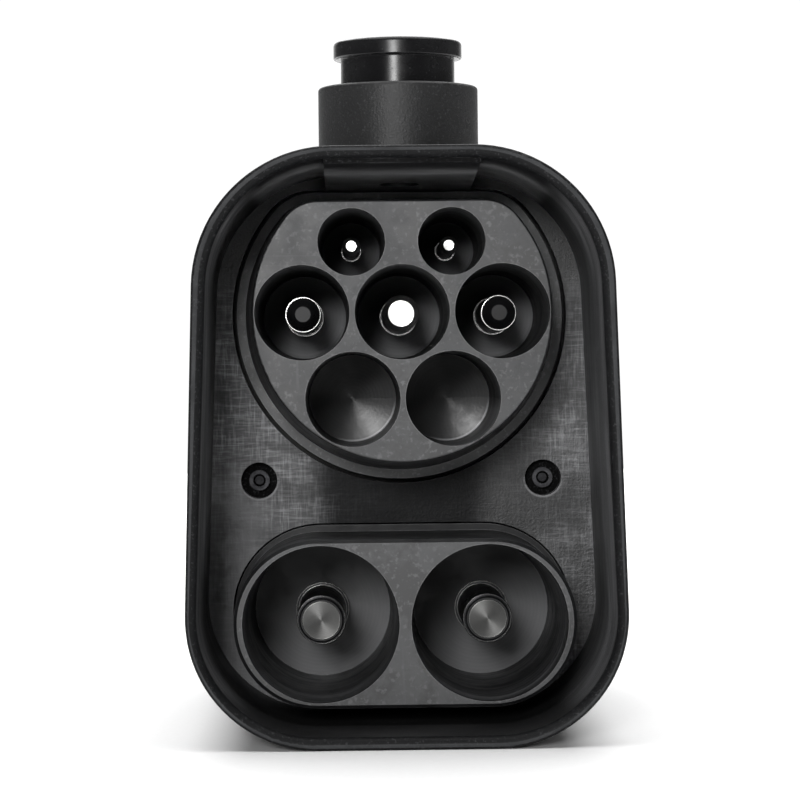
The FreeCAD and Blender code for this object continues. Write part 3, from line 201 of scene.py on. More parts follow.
def housing_material(name, inside):
    """Black moulded plastic: fine sandblasted grain outside, rubbed and scratched inside the shroud, with painted
    light and shade on its floor, walls, block and rim.
    """
    m = Mat(name)
    x, y, z = m.xyz()
    nx, ny, nz = m.facing()
    grain = m.noise(m.scaled(1, 1, 1), 2300.0, 2.0, 0.65)
    pits = m.cells(m.scaled(1, 1, 1), 2600.0)
    cloud = m.noise(m.scaled(1, 1, 1), 60.0, 4.0, 0.6)
    broad = m.noise(m.scaled(1, 1, 1), 22.0, 2.0, 0.5)
    base = m.mix(m.ramp(cloud, 0.35, 0.7), (0.0052, 0.0053, 0.0058), (0.0078, 0.0080, 0.0086))
    speck = m.ramp(grain, 0.56, 0.72)
    rough = m.ramp(cloud, 0.3, 0.7, 0.46, 0.56)
    edge = m.edges()
    worn = m.math("MULTIPLY", edge, m.ramp(m.noise(m.scaled(1, 1, 1), 300.0, 3.0), 0.35, 0.65), True)
    spec = 0.5
    if inside:
        # the floor faces the mouth: hatched by many insertions
        floor = m.math("MULTIPLY", m.ramp(m.math("MULTIPLY", ny, -1.0), 0.8, 0.97),
                       m.math("MULTIPLY", m.ramp(y, -0.0345, -0.0342), m.ramp(y, -0.0333, -0.0337), True), True)
        inner = m.ramp(y, -0.0785, -0.076)
        across = scratches(m, 0, 2300.0, 230.0, 0.50, 0.64)
        across2 = scratches(m, 0, 3600.0, 420.0, 0.50, 0.68, 3.1)
        upright = scratches(m, 2, 2300.0, 210.0, 0.51, 0.65, 7.7)
        upright2 = scratches(m, 2, 3600.0, 380.0, 0.50, 0.68, 1.3)
        lines = m.math("ADD", m.math("ADD", across, across2), m.math("ADD", upright, upright2))
        patch = m.ramp(m.noise(m.scaled(1, 1, 1), 95.0, 4.0, 0.62), 0.40, 0.60)
        # painted shade: the wear is kept off the middle of the floor, so the floor stays dark between the bosses,
        # where their shade falls
        sides = m.ramp(m.math("ABSOLUTE", x), 0.008, 0.020)
        # painted shadow: the top band of the floor, under the shroud's upper wall, is left dark and unworn
        low = m.ramp(z, 0.078, 0.066)
        wear_and_shade_here = m.math("MULTIPLY", m.math("MULTIPLY", floor, low, True),
                           m.ramp(sides, 0.0, 1.0, 0.06, 1.0), True)
        # painted light and shade: the wear is strongest on the left of the floor, weakest right of the middle and
        # stronger again at the far right, following where the lamp lights the floor
        light_by_side = m.math("ADD", m.ramp(x, -0.014, 0.008, 1.0, 0.26), m.ramp(x, 0.020, 0.027, 0.0, 0.42))
        wear_and_shade_here = m.math("MULTIPLY", wear_and_shade_here, light_by_side, True)
        haze = m.math("MULTIPLY", wear_and_shade_here, m.ramp(patch, 0.0, 1.0, 0.30, 0.95), True)
        hatch = m.math("MULTIPLY", m.math("MULTIPLY", lines, 0.42), m.math("MULTIPLY", wear_and_shade_here,
                       m.ramp(patch, 0.0, 1.0, 0.35, 1.0), True), True)
        streak = m.ramp(m.noise(m.scaled(60, 1900, 20), 1.0, 3.0, 0.6), 0.40, 0.74)
        smear = m.ramp(m.noise(m.scaled(60, 150, 40), 1.0, 4.0, 0.62), 0.40, 0.80)
        wall = m.math("MULTIPLY", m.math("SUBTRACT", 1.0, floor, True), inner, True)
        inward = m.ramp(m.math("MULTIPLY", m.math("MULTIPLY", x, nx), -1.0), 0.012, 0.026)
        wall = m.math("MULTIPLY", wall, inward, True)
        base = m.mix(haze, base, (0.080, 0.081, 0.084))
        base = m.mix(hatch, base, (0.27, 0.272, 0.28))
        dirt = m.ramp(m.noise(m.scaled(60, 60, 230), 1.0, 4.0, 0.62), 0.56, 0.68)
        base = m.mix(m.math("MULTIPLY", m.math("MULTIPLY", dirt, floor, True), 0.65, True), base,
                     (0.008, 0.0082, 0.0086))
        base = m.mix(m.math("MULTIPLY", wall, m.math("MAXIMUM", streak, smear), True), base,
                     (0.20, 0.202, 0.208))
        # painted light: a lighter patch on the lower left of the floor, in the corner that the shroud wall shades
        lit_floor_corner = m.math("MULTIPLY", m.math("MULTIPLY", m.ramp(z, 0.048, 0.036), m.ramp(x, -0.020, -0.026), True),
                        m.math("MULTIPLY", floor, m.ramp(patch, 0.0, 1.0, 0.5, 1.0), True), True)
        base = m.mix(m.math("MULTIPLY", lit_floor_corner, 0.8, True), base, (0.19, 0.192, 0.198))
        # painted light: the right inner wall of the shroud is painted lighter, as the lamp from the left falls on it
        right = m.math("MULTIPLY", m.math("MULTIPLY", wall, m.ramp(x, 0.020, 0.028), True),
                       m.ramp(smear, 0.0, 1.0, 0.25, 0.7), True)
        base = m.mix(right, base, (0.20, 0.202, 0.208))
        # painted light: the sloped underside of the block over the mouth is painted nearly white, where it lies in
        # shade
        lit_underside = m.math("MULTIPLY", m.ramp(m.math("MULTIPLY", nz, -1.0), 0.6, 0.9),
                       m.math("MULTIPLY", m.ramp(z, 0.086, 0.0875), m.ramp(y, -0.074, -0.036), True), True)
        base = m.mix(m.math("MULTIPLY", lit_underside, m.ramp(smear, 0.0, 1.0, 0.6, 1.0), True), base,
                     (0.78, 0.785, 0.80))
        fore = m.math("MULTIPLY", m.math("MULTIPLY", m.ramp(m.math("MULTIPLY", nz, -1.0), 0.5, 0.8),
                                         m.ramp(z, 0.0865, 0.088), True), m.ramp(y, -0.048, -0.060), True)
        rim = m.math("MULTIPLY", m.ramp(y, -0.0772, -0.0778), m.ramp(m.math("MULTIPLY", ny, -1.0), 0.05, 0.3), True)
        # painted shade: the front face of the block under the rim is painted almost black, with little sheen
        shaded_brow = m.math("MULTIPLY", m.math("MULTIPLY", m.ramp(y, -0.0778, -0.0776), m.ramp(y, -0.0772, -0.0774), True),
                      m.ramp(m.math("MULTIPLY", ny, -1.0), 0.6, 0.9), True)
        base = m.mix(shaded_brow, base, (0.002, 0.002, 0.0022))
        middle = m.math("MULTIPLY", floor, m.ramp(sides, 0.0, 1.0, 1.0, 0.0), True)
        spec = m.ramp(m.math("MAXIMUM", middle, m.math("MAXIMUM", fore, m.math("MULTIPLY", rim, 0.82))),
                      0.0, 1.0, 0.5, 0.10)
        spec = m.math("MULTIPLY", spec, m.ramp(shaded_brow, 0.0, 1.0, 1.0, 0.15))
        for sx in (-0.0239, 0.0239):
            dx = m.math("SUBTRACT", x, sx)
            dz = m.math("SUBTRACT", z, 0.0405)
            rr = m.math("SQRT", m.math("ADD", m.math("MULTIPLY", dx, dx), m.math("MULTIPLY", dz, dz)))
            # painted shade: the screw counterbores in the floor are painted nearly black, with little sheen
            pit = m.math("MULTIPLY", m.ramp(rr, 0.00325, 0.0031), m.ramp(y, -0.0339, -0.0336), True)
            base = m.mix(pit, base, (0.0015, 0.0015, 0.0016))
            spec = m.math("MULTIPLY", spec, m.ramp(pit, 0.0, 1.0, 1.0, 0.08))
            # painted highlight: a light ring on the lower side of each counterbore's edge
            lip = m.math("MULTIPLY", m.math("MULTIPLY", m.ramp(rr, 0.00300, 0.00306), m.ramp(rr, 0.00350, 0.00318), True),
                         m.math("MULTIPLY", m.ramp(y, -0.0345, -0.0342),
                                m.ramp(m.math("ADD", m.math("MULTIPLY", dz, -160.0), m.noise(m.scaled(1, 1, 1), 900.0, 2.0)),
                                       0.45, 0.85), True), True)
            base = m.mix(m.math("MULTIPLY", lip, 0.7, True), base, (0.30, 0.30, 0.31))
        # painted highlight: a lighter line along the crest of the rim, broken up by noise
        crest_highlight = m.math("MULTIPLY", m.ramp(y, -0.07897, -0.07899),
                       m.ramp(m.noise(m.scaled(1, 1, 1), 140.0, 3.0), 0.30, 0.55, 0.55, 1.0), True)
        base = m.mix(crest_highlight, base, (0.038, 0.039, 0.041))
        rub = m.math("MULTIPLY", m.ramp(broad, 0.4, 0.62), floor, True)
        rough = m.math("SUBTRACT", rough, m.math("MULTIPLY", rub, 0.10), True)
        m.bump(lines, 0.10, 0.00003)
    if inside:
        speck = m.math("MULTIPLY", speck, m.ramp(floor, 0.0, 1.0, 1.0, 0.25))
    base = m.mix(m.math("MULTIPLY", speck, 0.45, True), base, (0.06, 0.061, 0.064))
    base = m.mix(m.math("MULTIPLY", worn, 0.5, True), base, (0.085, 0.086, 0.09))
    # the line where the two housings meet
    off = m.math("ABSOLUTE", m.math("ADD", y, 0.001))
    seam = m.ramp(off, 0.00026, 0.00014)
    base = m.mix(seam, base, (0.0004, 0.0004, 0.0004))
    keep = m.math("SUBTRACT", 1.0, m.math("MULTIPLY", seam, 0.9, True), True)
    spec = m.math("MULTIPLY", spec, keep)
    m.bump(pits, 0.25, 0.00008)
    m.bump(grain, 0.5, 0.0001)
    return m.done(color=base, rough=rough, spec=spec)


def contact_material(name, wells=()):
    """Black plastic of the contact blocks: smoother, with a satin front face, turned marks in the wells, and painted
    light on the collar and on the lower right of the wells.

    wells lists each turned bottom as (x, z, radius, tone, strength of the marks)."""
    m = Mat(name)
    x, y, z = m.xyz()
    nx, ny, nz = m.facing()
    fine = m.noise(m.scaled(1, 1, 1), 2400.0, 2.0, 0.6)
    cloud = m.noise(m.scaled(1, 1, 1), 110.0, 5.0, 0.66)
    wide = m.noise(m.scaled(1, 1, 1), 24.0, 2.0, 0.5)
    front = m.ramp(m.math("MULTIPLY", ny, -1.0), 0.9, 0.98)
    face = m.math("MULTIPLY", front, m.ramp(y, -0.0615, -0.0625), True)
    lit_collar = m.math("MULTIPLY", m.math("MULTIPLY", front, m.ramp(y, -0.0315, -0.0325), True),
                    m.math("MULTIPLY", m.ramp(y, -0.0625, -0.0615), m.ramp(z, 0.0345, 0.0355), True), True)
    speck = m.ramp(m.noise(m.scaled(1, 1, 1), 1100.0, 2.0, 0.7), 0.54, 0.70)
    across = scratches(m, 0, 1300.0, 30.0, 0.66, 0.76, 2.2)
    diag = m.ramp(m.noise(m.scaled(1100, 1100, 45, turn=(0, 0.9, 0)), 1.0, 2.0), 0.68, 0.78)
    lines = m.math("MAXIMUM", across, diag)
    patch = m.ramp(m.math("ADD", m.math("MULTIPLY", cloud, 0.6), m.math("MULTIPLY", wide, 0.4)), 0.44, 0.57)
    base = m.mix(m.ramp(cloud, 0.35, 0.68), (0.0075, 0.0077, 0.0084), (0.014, 0.0143, 0.0152))
    base = m.mix(m.math("MULTIPLY", face, m.ramp(patch, 0.0, 1.0, 0.0, 1.0), True), base,
                 (0.040, 0.041, 0.043))
    mottle = m.ramp(m.noise(m.scaled(1, 1, 1), 420.0, 5.0, 0.72), 0.46, 0.60)
    base = m.mix(m.math("MULTIPLY", m.math("MULTIPLY", face, mottle, True), 0.30, True), base,
                 (0.012, 0.0122, 0.013))
    low_face = m.math("MULTIPLY", face, m.ramp(z, 0.037, 0.034), True)
    base = m.mix(m.math("MULTIPLY", low_face, m.ramp(patch, 0.0, 1.0, 0.15, 0.34), True), base,
                 (0.085, 0.086, 0.089))
    # painted light: the collar round the round boss is painted grey, where it lies in the shade of its deep trench
    base = m.mix(m.math("MULTIPLY", lit_collar, m.ramp(patch, 0.0, 1.0, 0.6, 1.0), True), base,
                 (0.050, 0.051, 0.053))
    base = m.mix(m.math("MULTIPLY", m.math("MULTIPLY", speck, m.math("MAXIMUM", face, lit_collar), True), 0.8, True),
                 base, (0.085, 0.086, 0.089))
    base = m.mix(m.math("MULTIPLY", m.math("MULTIPLY", lines, face, True), 0.30, True), base,
                 (0.10, 0.102, 0.106))
    edge = m.math("MULTIPLY", m.edges(),
                  m.ramp(m.noise(m.scaled(1, 1, 1), 260.0, 3.0), 0.3, 0.6), True)
    base = m.mix(m.math("MULTIPLY", edge, 0.75, True), base, (0.19, 0.19, 0.195))
    rough = m.math("ADD", m.ramp(cloud, 0.3, 0.7, 0.33, 0.46), m.math("MULTIPLY", patch, 0.07), True)
    spec_turned = shut = walls = None
    for wx, wz, wr_, tone, marks in wells:
        dx = m.math("SUBTRACT", x, wx)
        dz = m.math("SUBTRACT", z, wz)
        r = m.math("SQRT", m.math("ADD", m.math("MULTIPLY", dx, dx), m.math("MULTIPLY", dz, dz)))
        here = m.math("MULTIPLY", m.ramp(r, wr_ + 0.0002, wr_), m.ramp(y, -0.0262, -0.0252), True)
        wave = m.math("SINE", m.math("MULTIPLY", r, 2 * math.pi / 0.00062))
        wave2 = m.math("SINE", m.math("MULTIPLY", r, 2 * math.pi / 0.00141))
        turned = m.math("MULTIPLY", m.math("ADD", wave, m.math("MULTIPLY", wave2, 0.6)), here)
        cover = m.math("MULTIPLY", m.ramp(turned, -1.4, 1.5, 1.0 - 0.3 * marks, 1.0), here, True)
        lean = m.math("ADD", m.math("MULTIPLY", dx, 0.55), m.math("MULTIPLY", dz, -0.85))
        # painted light: in the wells with pins the bottom's tone is painted strongest on the lower right and fades
        # almost to nothing at the upper left, where the wall shades it
        if marks < 0.5:
            lit_lower_right = m.ramp(lean, -0.51 * wr_, 0.85 * wr_, 0.02, 1.0)
            cover = m.math("MULTIPLY", cover, lit_lower_right, True)
        base = m.mix(cover, base, tone)
        if marks < 0.5:
            # painted highlight: a light ring round the edge of the bottom, on its lower right
            line = m.math("MULTIPLY", m.math("MULTIPLY", m.ramp(r, wr_ - 0.00035, wr_ - 0.0002), here, True),
                          lit_lower_right, True)
            base = m.mix(m.math("MULTIPLY", line, 0.7, True), base, (0.15, 0.151, 0.155))
        m.bump(turned, 0.10 * marks, 0.00002)
        if marks > 0.5:
            spec_turned = here if spec_turned is None else m.math("MAXIMUM", spec_turned, here)
            away = m.math("MULTIPLY", here, m.ramp(lean, 0.25 * wr_, -0.45 * wr_), True)
            shut = away if shut is None else m.math("MAXIMUM", shut, away)
            # painted light: the wall of the empty well is painted bright on its lower right, where the lamp from the
            # upper left falls
            wall = m.math("MULTIPLY", m.math("MULTIPLY", m.ramp(r, 0.0070, 0.0072), m.ramp(r, 0.0080, 0.0078), True),
                          m.math("MULTIPLY", m.ramp(lean, 0.55 * wr_, 0.85 * wr_), m.ramp(y, -0.0620, -0.0610), True), True)
            walls = wall if walls is None else m.math("MAXIMUM", walls, wall)
    rings = m.noise(m.scaled(26, 1300, 26), 1.0, 3.0, 0.55)
    if wells:
        # drawn lines round the walls of the wells
        barrel = m.math("MULTIPLY", m.ramp(m.math("ABSOLUTE", ny), 0.30, 0.12), m.ramp(y, -0.0622, -0.0600), True)
        base = m.mix(m.math("MULTIPLY", barrel, m.ramp(rings, 0.40, 0.64), True), base, (0.115, 0.116, 0.120))
        # painted light on the lower right of the empty wells' walls, streaked by the turned rings
        base = m.mix(m.math("MULTIPLY", walls, m.ramp(rings, 0.35, 0.6, 0.45, 0.9), True), base, (0.26, 0.262, 0.27))
    m.bump(rings, 0.08, 0.00004)
    m.bump(fine, 0.25, 0.00003)
    if not wells:
        return m.done(color=base, rough=rough, spec=0.5)
    deep = m.math("MULTIPLY", m.ramp(y, -0.0625, -0.0600), m.math("SUBTRACT", 1.0, lit_collar, True), True)
    side = m.math("MULTIPLY", m.math("SIGN", x), -0.008)
    m.radial(m.math("ADD", x, side), m.math("SUBTRACT", z, 0.05413), m.math("MULTIPLY", spec_turned, 0.88))
    spec = m.math("ADD", m.ramp(deep, 0.0, 1.0, 0.5, 0.24), m.math("MULTIPLY", spec_turned, 0.26))
    spec = m.math("MULTIPLY", spec, m.ramp(shut, 0.0, 1.0, 1.0, 0.40))
    rough = m.math("SUBTRACT", rough, m.math("MULTIPLY", spec_turned, 0.06), True)
    return m.done(color=base, rough=rough, spec=spec)


def gloss_material(name, rough=0.12, spec=0.36):
    m = Mat(name)
    peel = m.noise(m.scaled(1, 1, 1), 420.0, 2.0, 0.5)
    dust = m.ramp(m.noise(m.scaled(1, 1, 1), 2600.0, 2.0, 0.6), 0.66, 0.76)
    smudge = m.noise(m.scaled(1, 1, 1), 110.0, 4.0, 0.6)
    base = m.mix(m.ramp(smudge, 0.35, 0.7), (0.0065, 0.0065, 0.0072), (0.0115, 0.0116, 0.0124))
    edge = m.math("MULTIPLY", m.edges(), 0.3, True)
    base = m.mix(edge, base, (0.06, 0.06, 0.063))
    base = m.mix(m.math("MULTIPLY", dust, 0.3, True), base, (0.1, 0.1, 0.1))
    r = m.ramp(smudge, 0.3, 0.75, rough, rough + 0.12)
    r = m.math("ADD", r, m.math("MULTIPLY", dust, 0.25), True)
    m.bump(peel, 0.05, 0.00004)
    return m.done(color=base, rough=r, spec=spec)


def rubber_material(name):
    m = Mat(name)
    fine = m.noise(m.scaled(1, 1, 1), 1800.0, 3.0, 0.65)
    cloud = m.noise(m.scaled(1, 1, 1), 80.0, 3.0)
    base = m.mix(m.ramp(cloud, 0.35, 0.7), (0.012, 0.012, 0.012), (0.028, 0.028, 0.027))
    m.bump(fine, 0.4, 0.00006)
    return m.done(color=base, rough=m.ramp(fine, 0.3, 0.7, 0.72, 0.88), spec=0.35)


def metal_material(name, tone_a, tone_b, rough=0.3, cx=None, cz=None, turned=0.0, tip=None,
                   reach=0.004, shade=(0.10, 0.098, 0.093), edge_tone=None):
    """Turned or plated metal; cx and cz give the axis that the lathe marks run round."""
    m = Mat(name)
    x, y, z = m.xyz()
    cloud = m.noise(m.scaled(1, 1, 1), 160.0, 4.0, 0.6)
    fine = m.noise(m.scaled(1, 1, 1), 2400.0, 2.0, 0.6)
    base = m.mix(m.ramp(cloud, 0.35, 0.7), tone_a, tone_b)
    r = m.ramp(cloud, 0.3, 0.7, rough * 0.8, rough * 1.25)
    if cx is not None:
        dx = m.math("SUBTRACT", x, cx)
        dz = m.math("SUBTRACT", z, cz)
        rr = m.math("SQRT", m.math("ADD", m.math("MULTIPLY", dx, dx), m.math("MULTIPLY", dz, dz)))
        wave = m.math("SINE", m.math("MULTIPLY", m.math("ADD", rr, m.math("MULTIPLY", y, 0.7)), 2 * math.pi / 0.00028))
        m.bump(wave, turned * 0.5, 0.00001)
        m.radial(dx, dz, 0.7 if turned > 0.4 else 0.4)
    else:
        streak = m.noise(m.scaled(300, 2600, 300), 1.0, 2.0, 0.5)
        m.bump(streak, 0.15, 0.00002)
    if tip is not None:
        # painted shade: the sides and the parts deeper than the tip are painted dark; only the end that faces the
        # mouth keeps the bright tone
        nx, ny, nz = m.facing()
        side = m.ramp(m.math("MULTIPLY", ny, -1.0), 0.50, 0.30)
        deep = m.math("MAXIMUM", m.math("MULTIPLY", side, 0.85), m.ramp(y, tip, tip + reach))
        base = m.mix(deep, base, shade)
    edge = m.math("MULTIPLY", m.edges(), 0.6, True)
    base = m.mix(edge, base, tuple(min(1.0, c * 1.35) for c in (edge_tone or tone_b)))
    m.bump(fine, 0.10, 0.00002)
    return m.done(color=base, rough=r, metal=1.0)


def screw_material(name, places):
    """Blackened screw heads with painted shade in the recess; places gives the axes (x, z)."""
    m = Mat(name)
    x, y, z = m.xyz()
    cloud = m.noise(m.scaled(1, 1, 1), 400.0, 4.0, 0.6)
    fine = m.noise(m.scaled(1, 1, 1), 2400.0, 2.0, 0.6)
    base = m.mix(m.ramp(cloud, 0.35, 0.7), (0.026, 0.026, 0.028), (0.052, 0.052, 0.055))
    for px, pz in places:
        dx = m.math("SUBTRACT", x, px)
        dz = m.math("SUBTRACT", z, pz)
        rr = m.math("SQRT", m.math("ADD", m.math("MULTIPLY", dx, dx), m.math("MULTIPLY", dz, dz)))
        # painted shade: the recess is painted near black, its bottom a little less, and a dark ring runs round the
        # edge of the head
        core = m.ramp(rr, 0.00078, 0.00066)
        ring = m.math("MULTIPLY", m.ramp(rr, 0.00114, 0.00100), m.math("SUBTRACT", 1.0, core, True), True)
        rim = m.ramp(rr, 0.00162, 0.00172)
        base = m.mix(m.math("MULTIPLY", m.math("MULTIPLY", rim, m.ramp(rr, 0.0020, 0.0019), True), 0.8, True),
                     base, (0.008, 0.008, 0.008))
        base = m.mix(m.math("MULTIPLY", core, 0.75, True), base, (0.014, 0.014, 0.015))
        base = m.mix(ring, base, (0.0012, 0.0012, 0.0012))
    m.bump(fine, 0.12, 0.00002)
    return m.done(color=base, rough=m.ramp(fine, 0.3, 0.7, 0.42, 0.54), metal=1.0)


def wire_material(name, a, b):
    m = Mat(name)
    cloud = m.noise(m.scaled(1, 1, 1), 200.0, 3.0)
    fine = m.noise(m.scaled(1, 1, 1), 2200.0, 2.0)
    base = m.mix(m.ramp(cloud, 0.35, 0.7), a, b)
    m.bump(fine, 0.2, 0.00004)
    return m.done(color=base, rough=m.ramp(cloud, 0.3, 0.7, 0.42, 0.55), spec=0.45)


def board_material(name):
    m = Mat(name)
    weave = m.noise(m.scaled(1600, 1600, 1600), 1.0, 1.0)
    tracks = m.cells(m.scaled(500, 500, 500))
    base = m.mix(m.ramp(tracks, 0.35, 0.45), (0.012, 0.07, 0.035), (0.02, 0.11, 0.055))
    m.bump(weave, 0.15, 0.00003)
    return m.done(color=base, rough=m.ramp(weave, 0.3, 0.7, 0.3, 0.42), spec=0.5)


def assign(node, mat):
    o = nodes[node]
    o.data.materials.clear()
    o.data.materials.append(mat)
    for p in o.data.polygons:
        p.material_index = 0


housing = housing_material("housing_front_plastic", True)
housing_rear = housing_material("housing_rear_plastic", False)
contact = contact_material("contact_block_plastic",
                           [(-0.008, 0.05413, 0.0072, (0.018, 0.0182, 0.019), 1.0),
                            (0.008, 0.05413, 0.0072, (0.018, 0.0182, 0.019), 1.0),
                            (-0.0135, 0.0183, 0.0118, (0.135, 0.136, 0.140), 0.25),
                            (0.0135, 0.0183, 0.0118, (0.135, 0.136, 0.140), 0.25),
                            (-0.016, 0.068, 0.0069, (0.21, 0.212, 0.218), 0.2),
                            (0.0, 0.068, 0.0069, (0.21, 0.212, 0.218), 0.2),
                            (0.016, 0.068, 0.0069, (0.21, 0.212, 0.218), 0.2),
                            (-0.008, 0.0792, 0.0048, (0.21, 0.212, 0.218), 0.2),
                            (0.008, 0.0792, 0.0048, (0.21, 0.212, 0.218), 0.2)])
contact_rear = contact_material("plug_block_plastic")
gloss = gloss_material("knob_gloss_plastic", 0.20, 0.30)
caps = gloss_material("cap_plastic", 0.26, 0.22)
seal = rubber_material("seal_rubber")
spring_metal = metal_material("spring_wire", (0.42, 0.42, 0.43), (0.55, 0.55, 0.56), 0.3)
screw_metal = metal_material("screw_zinc", (0.16, 0.16, 0.165), (0.27, 0.27, 0.28), 0.38)
black_metal = metal_material("screw_black", (0.030, 0.030, 0.032), (0.060, 0.060, 0.063), 0.46)
ground_metal = metal_material("ground_steel", (0.5, 0.5, 0.51), (0.64, 0.64, 0.65), 0.2)
brass = metal_material("bush_brass", (0.55, 0.38, 0.14), (0.72, 0.52, 0.22), 0.28)
copper = metal_material("bar_copper", (0.62, 0.28, 0.15), (0.78, 0.40, 0.24), 0.32)

assign("front_housing", housing)
assign("rear_housing", housing_rear)
assign("latch_lever", housing_rear)
assign("contact_insert", contact)
assign("rear_insulator", contact_rear)
assign("lock_knob", gloss)
for n in ("line_pin_cap", "neutral_pin_cap", "dc_cap_left", "dc_cap_right"):
    assign(n, caps)
for n in ("insert_gasket", "housing_seal", "rear_gasket"):
    assign(n, seal)
for n in ("lock_spring", "latch_spring"):
    assign(n, spring_metal)
assign("floor_screws", screw_material("screw_recess_black", ((-0.0239, 0.0405), (0.0239, 0.0405))))
for n in ("housing_screws", "insulator_screws", "lock_stop_screw", "dc_nuts"):
    assign(n, screw_metal)
assign("lock_pin", black_metal)
assign("latch_pin", ground_metal)
assign("lock_bush", brass)
for n in ("busbar_left", "busbar_right"):
    assign(n, copper)
assign("coding_board", board_material("board_lacquer"))

ROUND = {
    "line_pin": (0.016, 0.068), "neutral_pin": (-0.016, 0.068), "earth_pin": (0.0, 0.068),
    "pilot_pin": (-0.008, 0.0792), "proximity_pin": (0.008, 0.0792),
    "dc_pin_left": (-0.0135, 0.0183), "dc_pin_right": (0.0135, 0.0183),
    "line_socket": (0.00785, 0.0668), "neutral_socket": (-0.00785, 0.0668), "earth_socket": (0.0, 0.0494),
    "pilot_socket": (-0.01065, 0.0572), "proximity_socket": (0.01065, 0.0572),
    "dc_socket_left": (-0.0135, 0.0235), "dc_socket_right": (0.0135, 0.0235),
}
TIPS = {"line_pin": -0.0480, "neutral_pin": -0.0480, "earth_pin": -0.0495,
        "pilot_pin": -0.0465, "proximity_pin": -0.0465,
        "dc_pin_left": -0.0536, "dc_pin_right": -0.0536}
for n, (cx, cz) in ROUND.items():
    dc = n.startswith("dc_pin")
    tones = ((0.055, 0.055, 0.054), (0.085, 0.085, 0.083)) if dc else ((0.78, 0.78, 0.76), (0.9, 0.89, 0.87))
    if n.endswith("socket") or "_socket_" in n:
        tones = ((0.42, 0.42, 0.41), (0.56, 0.56, 0.54))
    tip = TIPS.get(n)
    assign(n, metal_material(n + "_silver", tones[0], tones[1], 0.34 if dc else 0.22, cx, cz,
                             0.55 if dc else 0.2, tip, 0.0005 if dc else 0.004,
                             (0.022, 0.022, 0.023) if dc else (0.10, 0.098, 0.093),
                             (0.42, 0.42, 0.41) if dc else None))

WIRES = {
    "line_wire": ((0.10, 0.04, 0.018), (0.14, 0.06, 0.028)),
    "neutral_wire": ((0.02, 0.06, 0.25), (0.03, 0.09, 0.33)),
    "earth_wire": ((0.09, 0.22, 0.03), (0.22, 0.30, 0.04)),
    "pilot_wire": ((0.55, 0.55, 0.52), (0.66, 0.66, 0.63)),
    "proximity_wire": ((0.012, 0.012, 0.012), (0.022, 0.022, 0.022)),
}
for n, (a, b) in WIRES.items():
    assign(n, wire_material(n + "_cover", a, b))

# --- floor and background ------------------------------------------------------

mesh = bpy.data.meshes.new("floor_sheet")
R = 1.5
mesh.from_pydata([(-R, -R, 0), (R, -R, 0), (R, R, 0), (-R, R, 0)], [], [(0, 1, 2, 3)])
floor = bpy.data.objects.new("floor_sheet", mesh)
bpy.context.scene.collection.objects.link(floor)
floor.location.z = -0.00005
m = Mat("floor_paper")
fibre = m.noise(m.scaled(1, 1, 1), 900.0, 3.0)
paper = m.mix(m.ramp(fibre, 0.3, 0.7), (0.93, 0.93, 0.93), (0.95, 0.95, 0.95))
m.bump(fibre, 0.05, 0.00005)
mesh.materials.append(m.done(color=paper, rough=0.9, spec=0.1))

world = bpy.data.worlds.new("studio")
bpy.context.scene.world = world
world.use_nodes = True
wnt = world.node_tree
wnt.nodes.clear()
wo = wnt.nodes.new("ShaderNodeOutputWorld")
wb = wnt.nodes.new("ShaderNodeBackground")
wc = wnt.nodes.new("ShaderNodeTexCoord")
ws = wnt.nodes.new("ShaderNodeSeparateXYZ")
wnt.links.new(wc.outputs["Generated"], ws.inputs[0])
wr = wnt.nodes.new("ShaderNodeMapRange")
wr.interpolation_type = "SMOOTHSTEP"
wr.inputs["From Min"].default_value = 0.80
wr.inputs["From Max"].default_value = 0.97
wr.inputs["To Min"].default_value = 0.14
wr.inputs["To Max"].default_value = 1.06
wnt.links.new(ws.outputs["Y"], wr.inputs["Value"])
# the room behind the camera is darker than the sides
wd = wnt.nodes.new("ShaderNodeMapRange")
wd.interpolation_type = "SMOOTHSTEP"
wd.inputs["From Min"].default_value = -0.95
wd.inputs["From Max"].default_value = -0.30
wd.inputs["To Min"].default_value = 0.35
wd.inputs["To Max"].default_value = 1.0
wnt.links.new(ws.outputs["Y"], wd.inputs["Value"])
wm = wnt.nodes.new("ShaderNodeMath")
wm.operation = "MULTIPLY"
wnt.links.new(wr.outputs[0], wm.inputs[0])
wnt.links.new(wd.outputs[0], wm.inputs[1])
wnt.links.new(wm.outputs[0], wb.inputs["Strength"])
wb.inputs["Color"].default_value = (1.0, 1.0, 1.0, 1.0)
wnt.links.new(wb.outputs[0], wo.inputs[0])


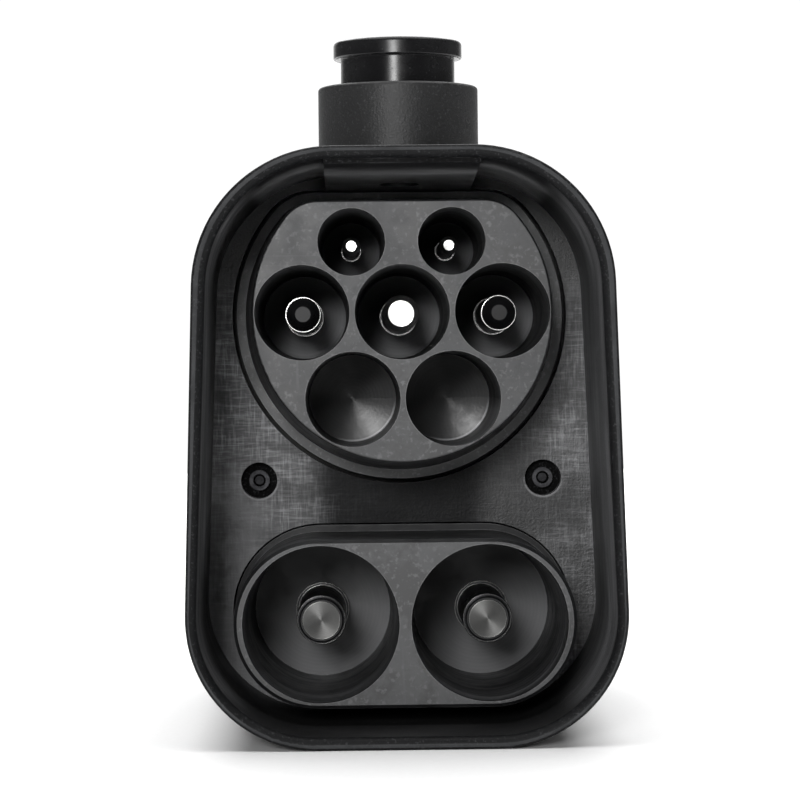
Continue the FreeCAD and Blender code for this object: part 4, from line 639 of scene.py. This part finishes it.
def area(name, place, target, size, power, size_y=None):
    light = bpy.data.lights.new(name, "AREA")
    light.shape = "RECTANGLE" if size_y else "SQUARE"
    light.size = size
    if size_y:
        light.size_y = size_y
    light.energy = power
    light.color = (1.0, 1.0, 1.0)
    o = bpy.data.objects.new(name, light)
    bpy.context.scene.collection.objects.link(o)
    o.location = place
    o.rotation_euler = (Vector(target) - Vector(place)).to_track_quat("-Z", "Y").to_euler()
    return o


area("key_soft", (-0.20, -1.36, 0.31), (0.0, 0.0, 0.06), 0.24, 8.8)
area("front_soft", (0.0, -1.6, 0.10), (0.0, 0.0, 0.06), 0.8, 0.5)
area("top_soft", (0.0, 0.15, 1.5), (0.0, 0.15, 0.0), 2.2, 42.0)
area("far_soft", (0.0, 1.3, 1.0), (0.0, 1.3, 0.0), 1.2, 22.0)

# --- camera --------------------------------------------------------------------

cam = bpy.data.cameras.new("camera")
cam.sensor_width = 36.0
cam.lens = 3140.0 / 800.0 * 36.0
cam.clip_start, cam.clip_end = 0.01, 100.0
cam_obj = bpy.data.objects.new("camera", cam)
bpy.context.scene.collection.objects.link(cam_obj)
CAM_PLACE = Vector((-0.00847, -0.56298, 0.05634))
YAW, PITCH, ROLL = math.radians(0.912), math.radians(-0.274), math.radians(0.614)
look = Vector((math.sin(YAW) * math.cos(PITCH), math.cos(YAW) * math.cos(PITCH), math.sin(PITCH)))
turn = look.to_track_quat("-Z", "Y").to_matrix()
turn = turn @ Matrix.Rotation(-ROLL, 3, "Z")
cam_obj.matrix_world = Matrix.Translation(CAM_PLACE) @ turn.to_4x4()
bpy.context.scene.camera = cam_obj
bpy.context.scene.view_settings.view_transform = "Standard"

# --- springs: each is copied to its own coil on the adapter body, the part itself hidden ---

for node, name, joint, stroke in (("lock_spring", "lock_spring_coil", "lock_slide", 0.0042),
                                  ("latch_spring", "latch_spring_coil", "latch_hinge", 0.0035)):
    coil = bpy.data.objects.new(name, nodes[node].data.copy())
    bpy.context.scene.collection.objects.link(coil)
    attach(coil, "adapter_body")
    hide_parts(node)
    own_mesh(coil)
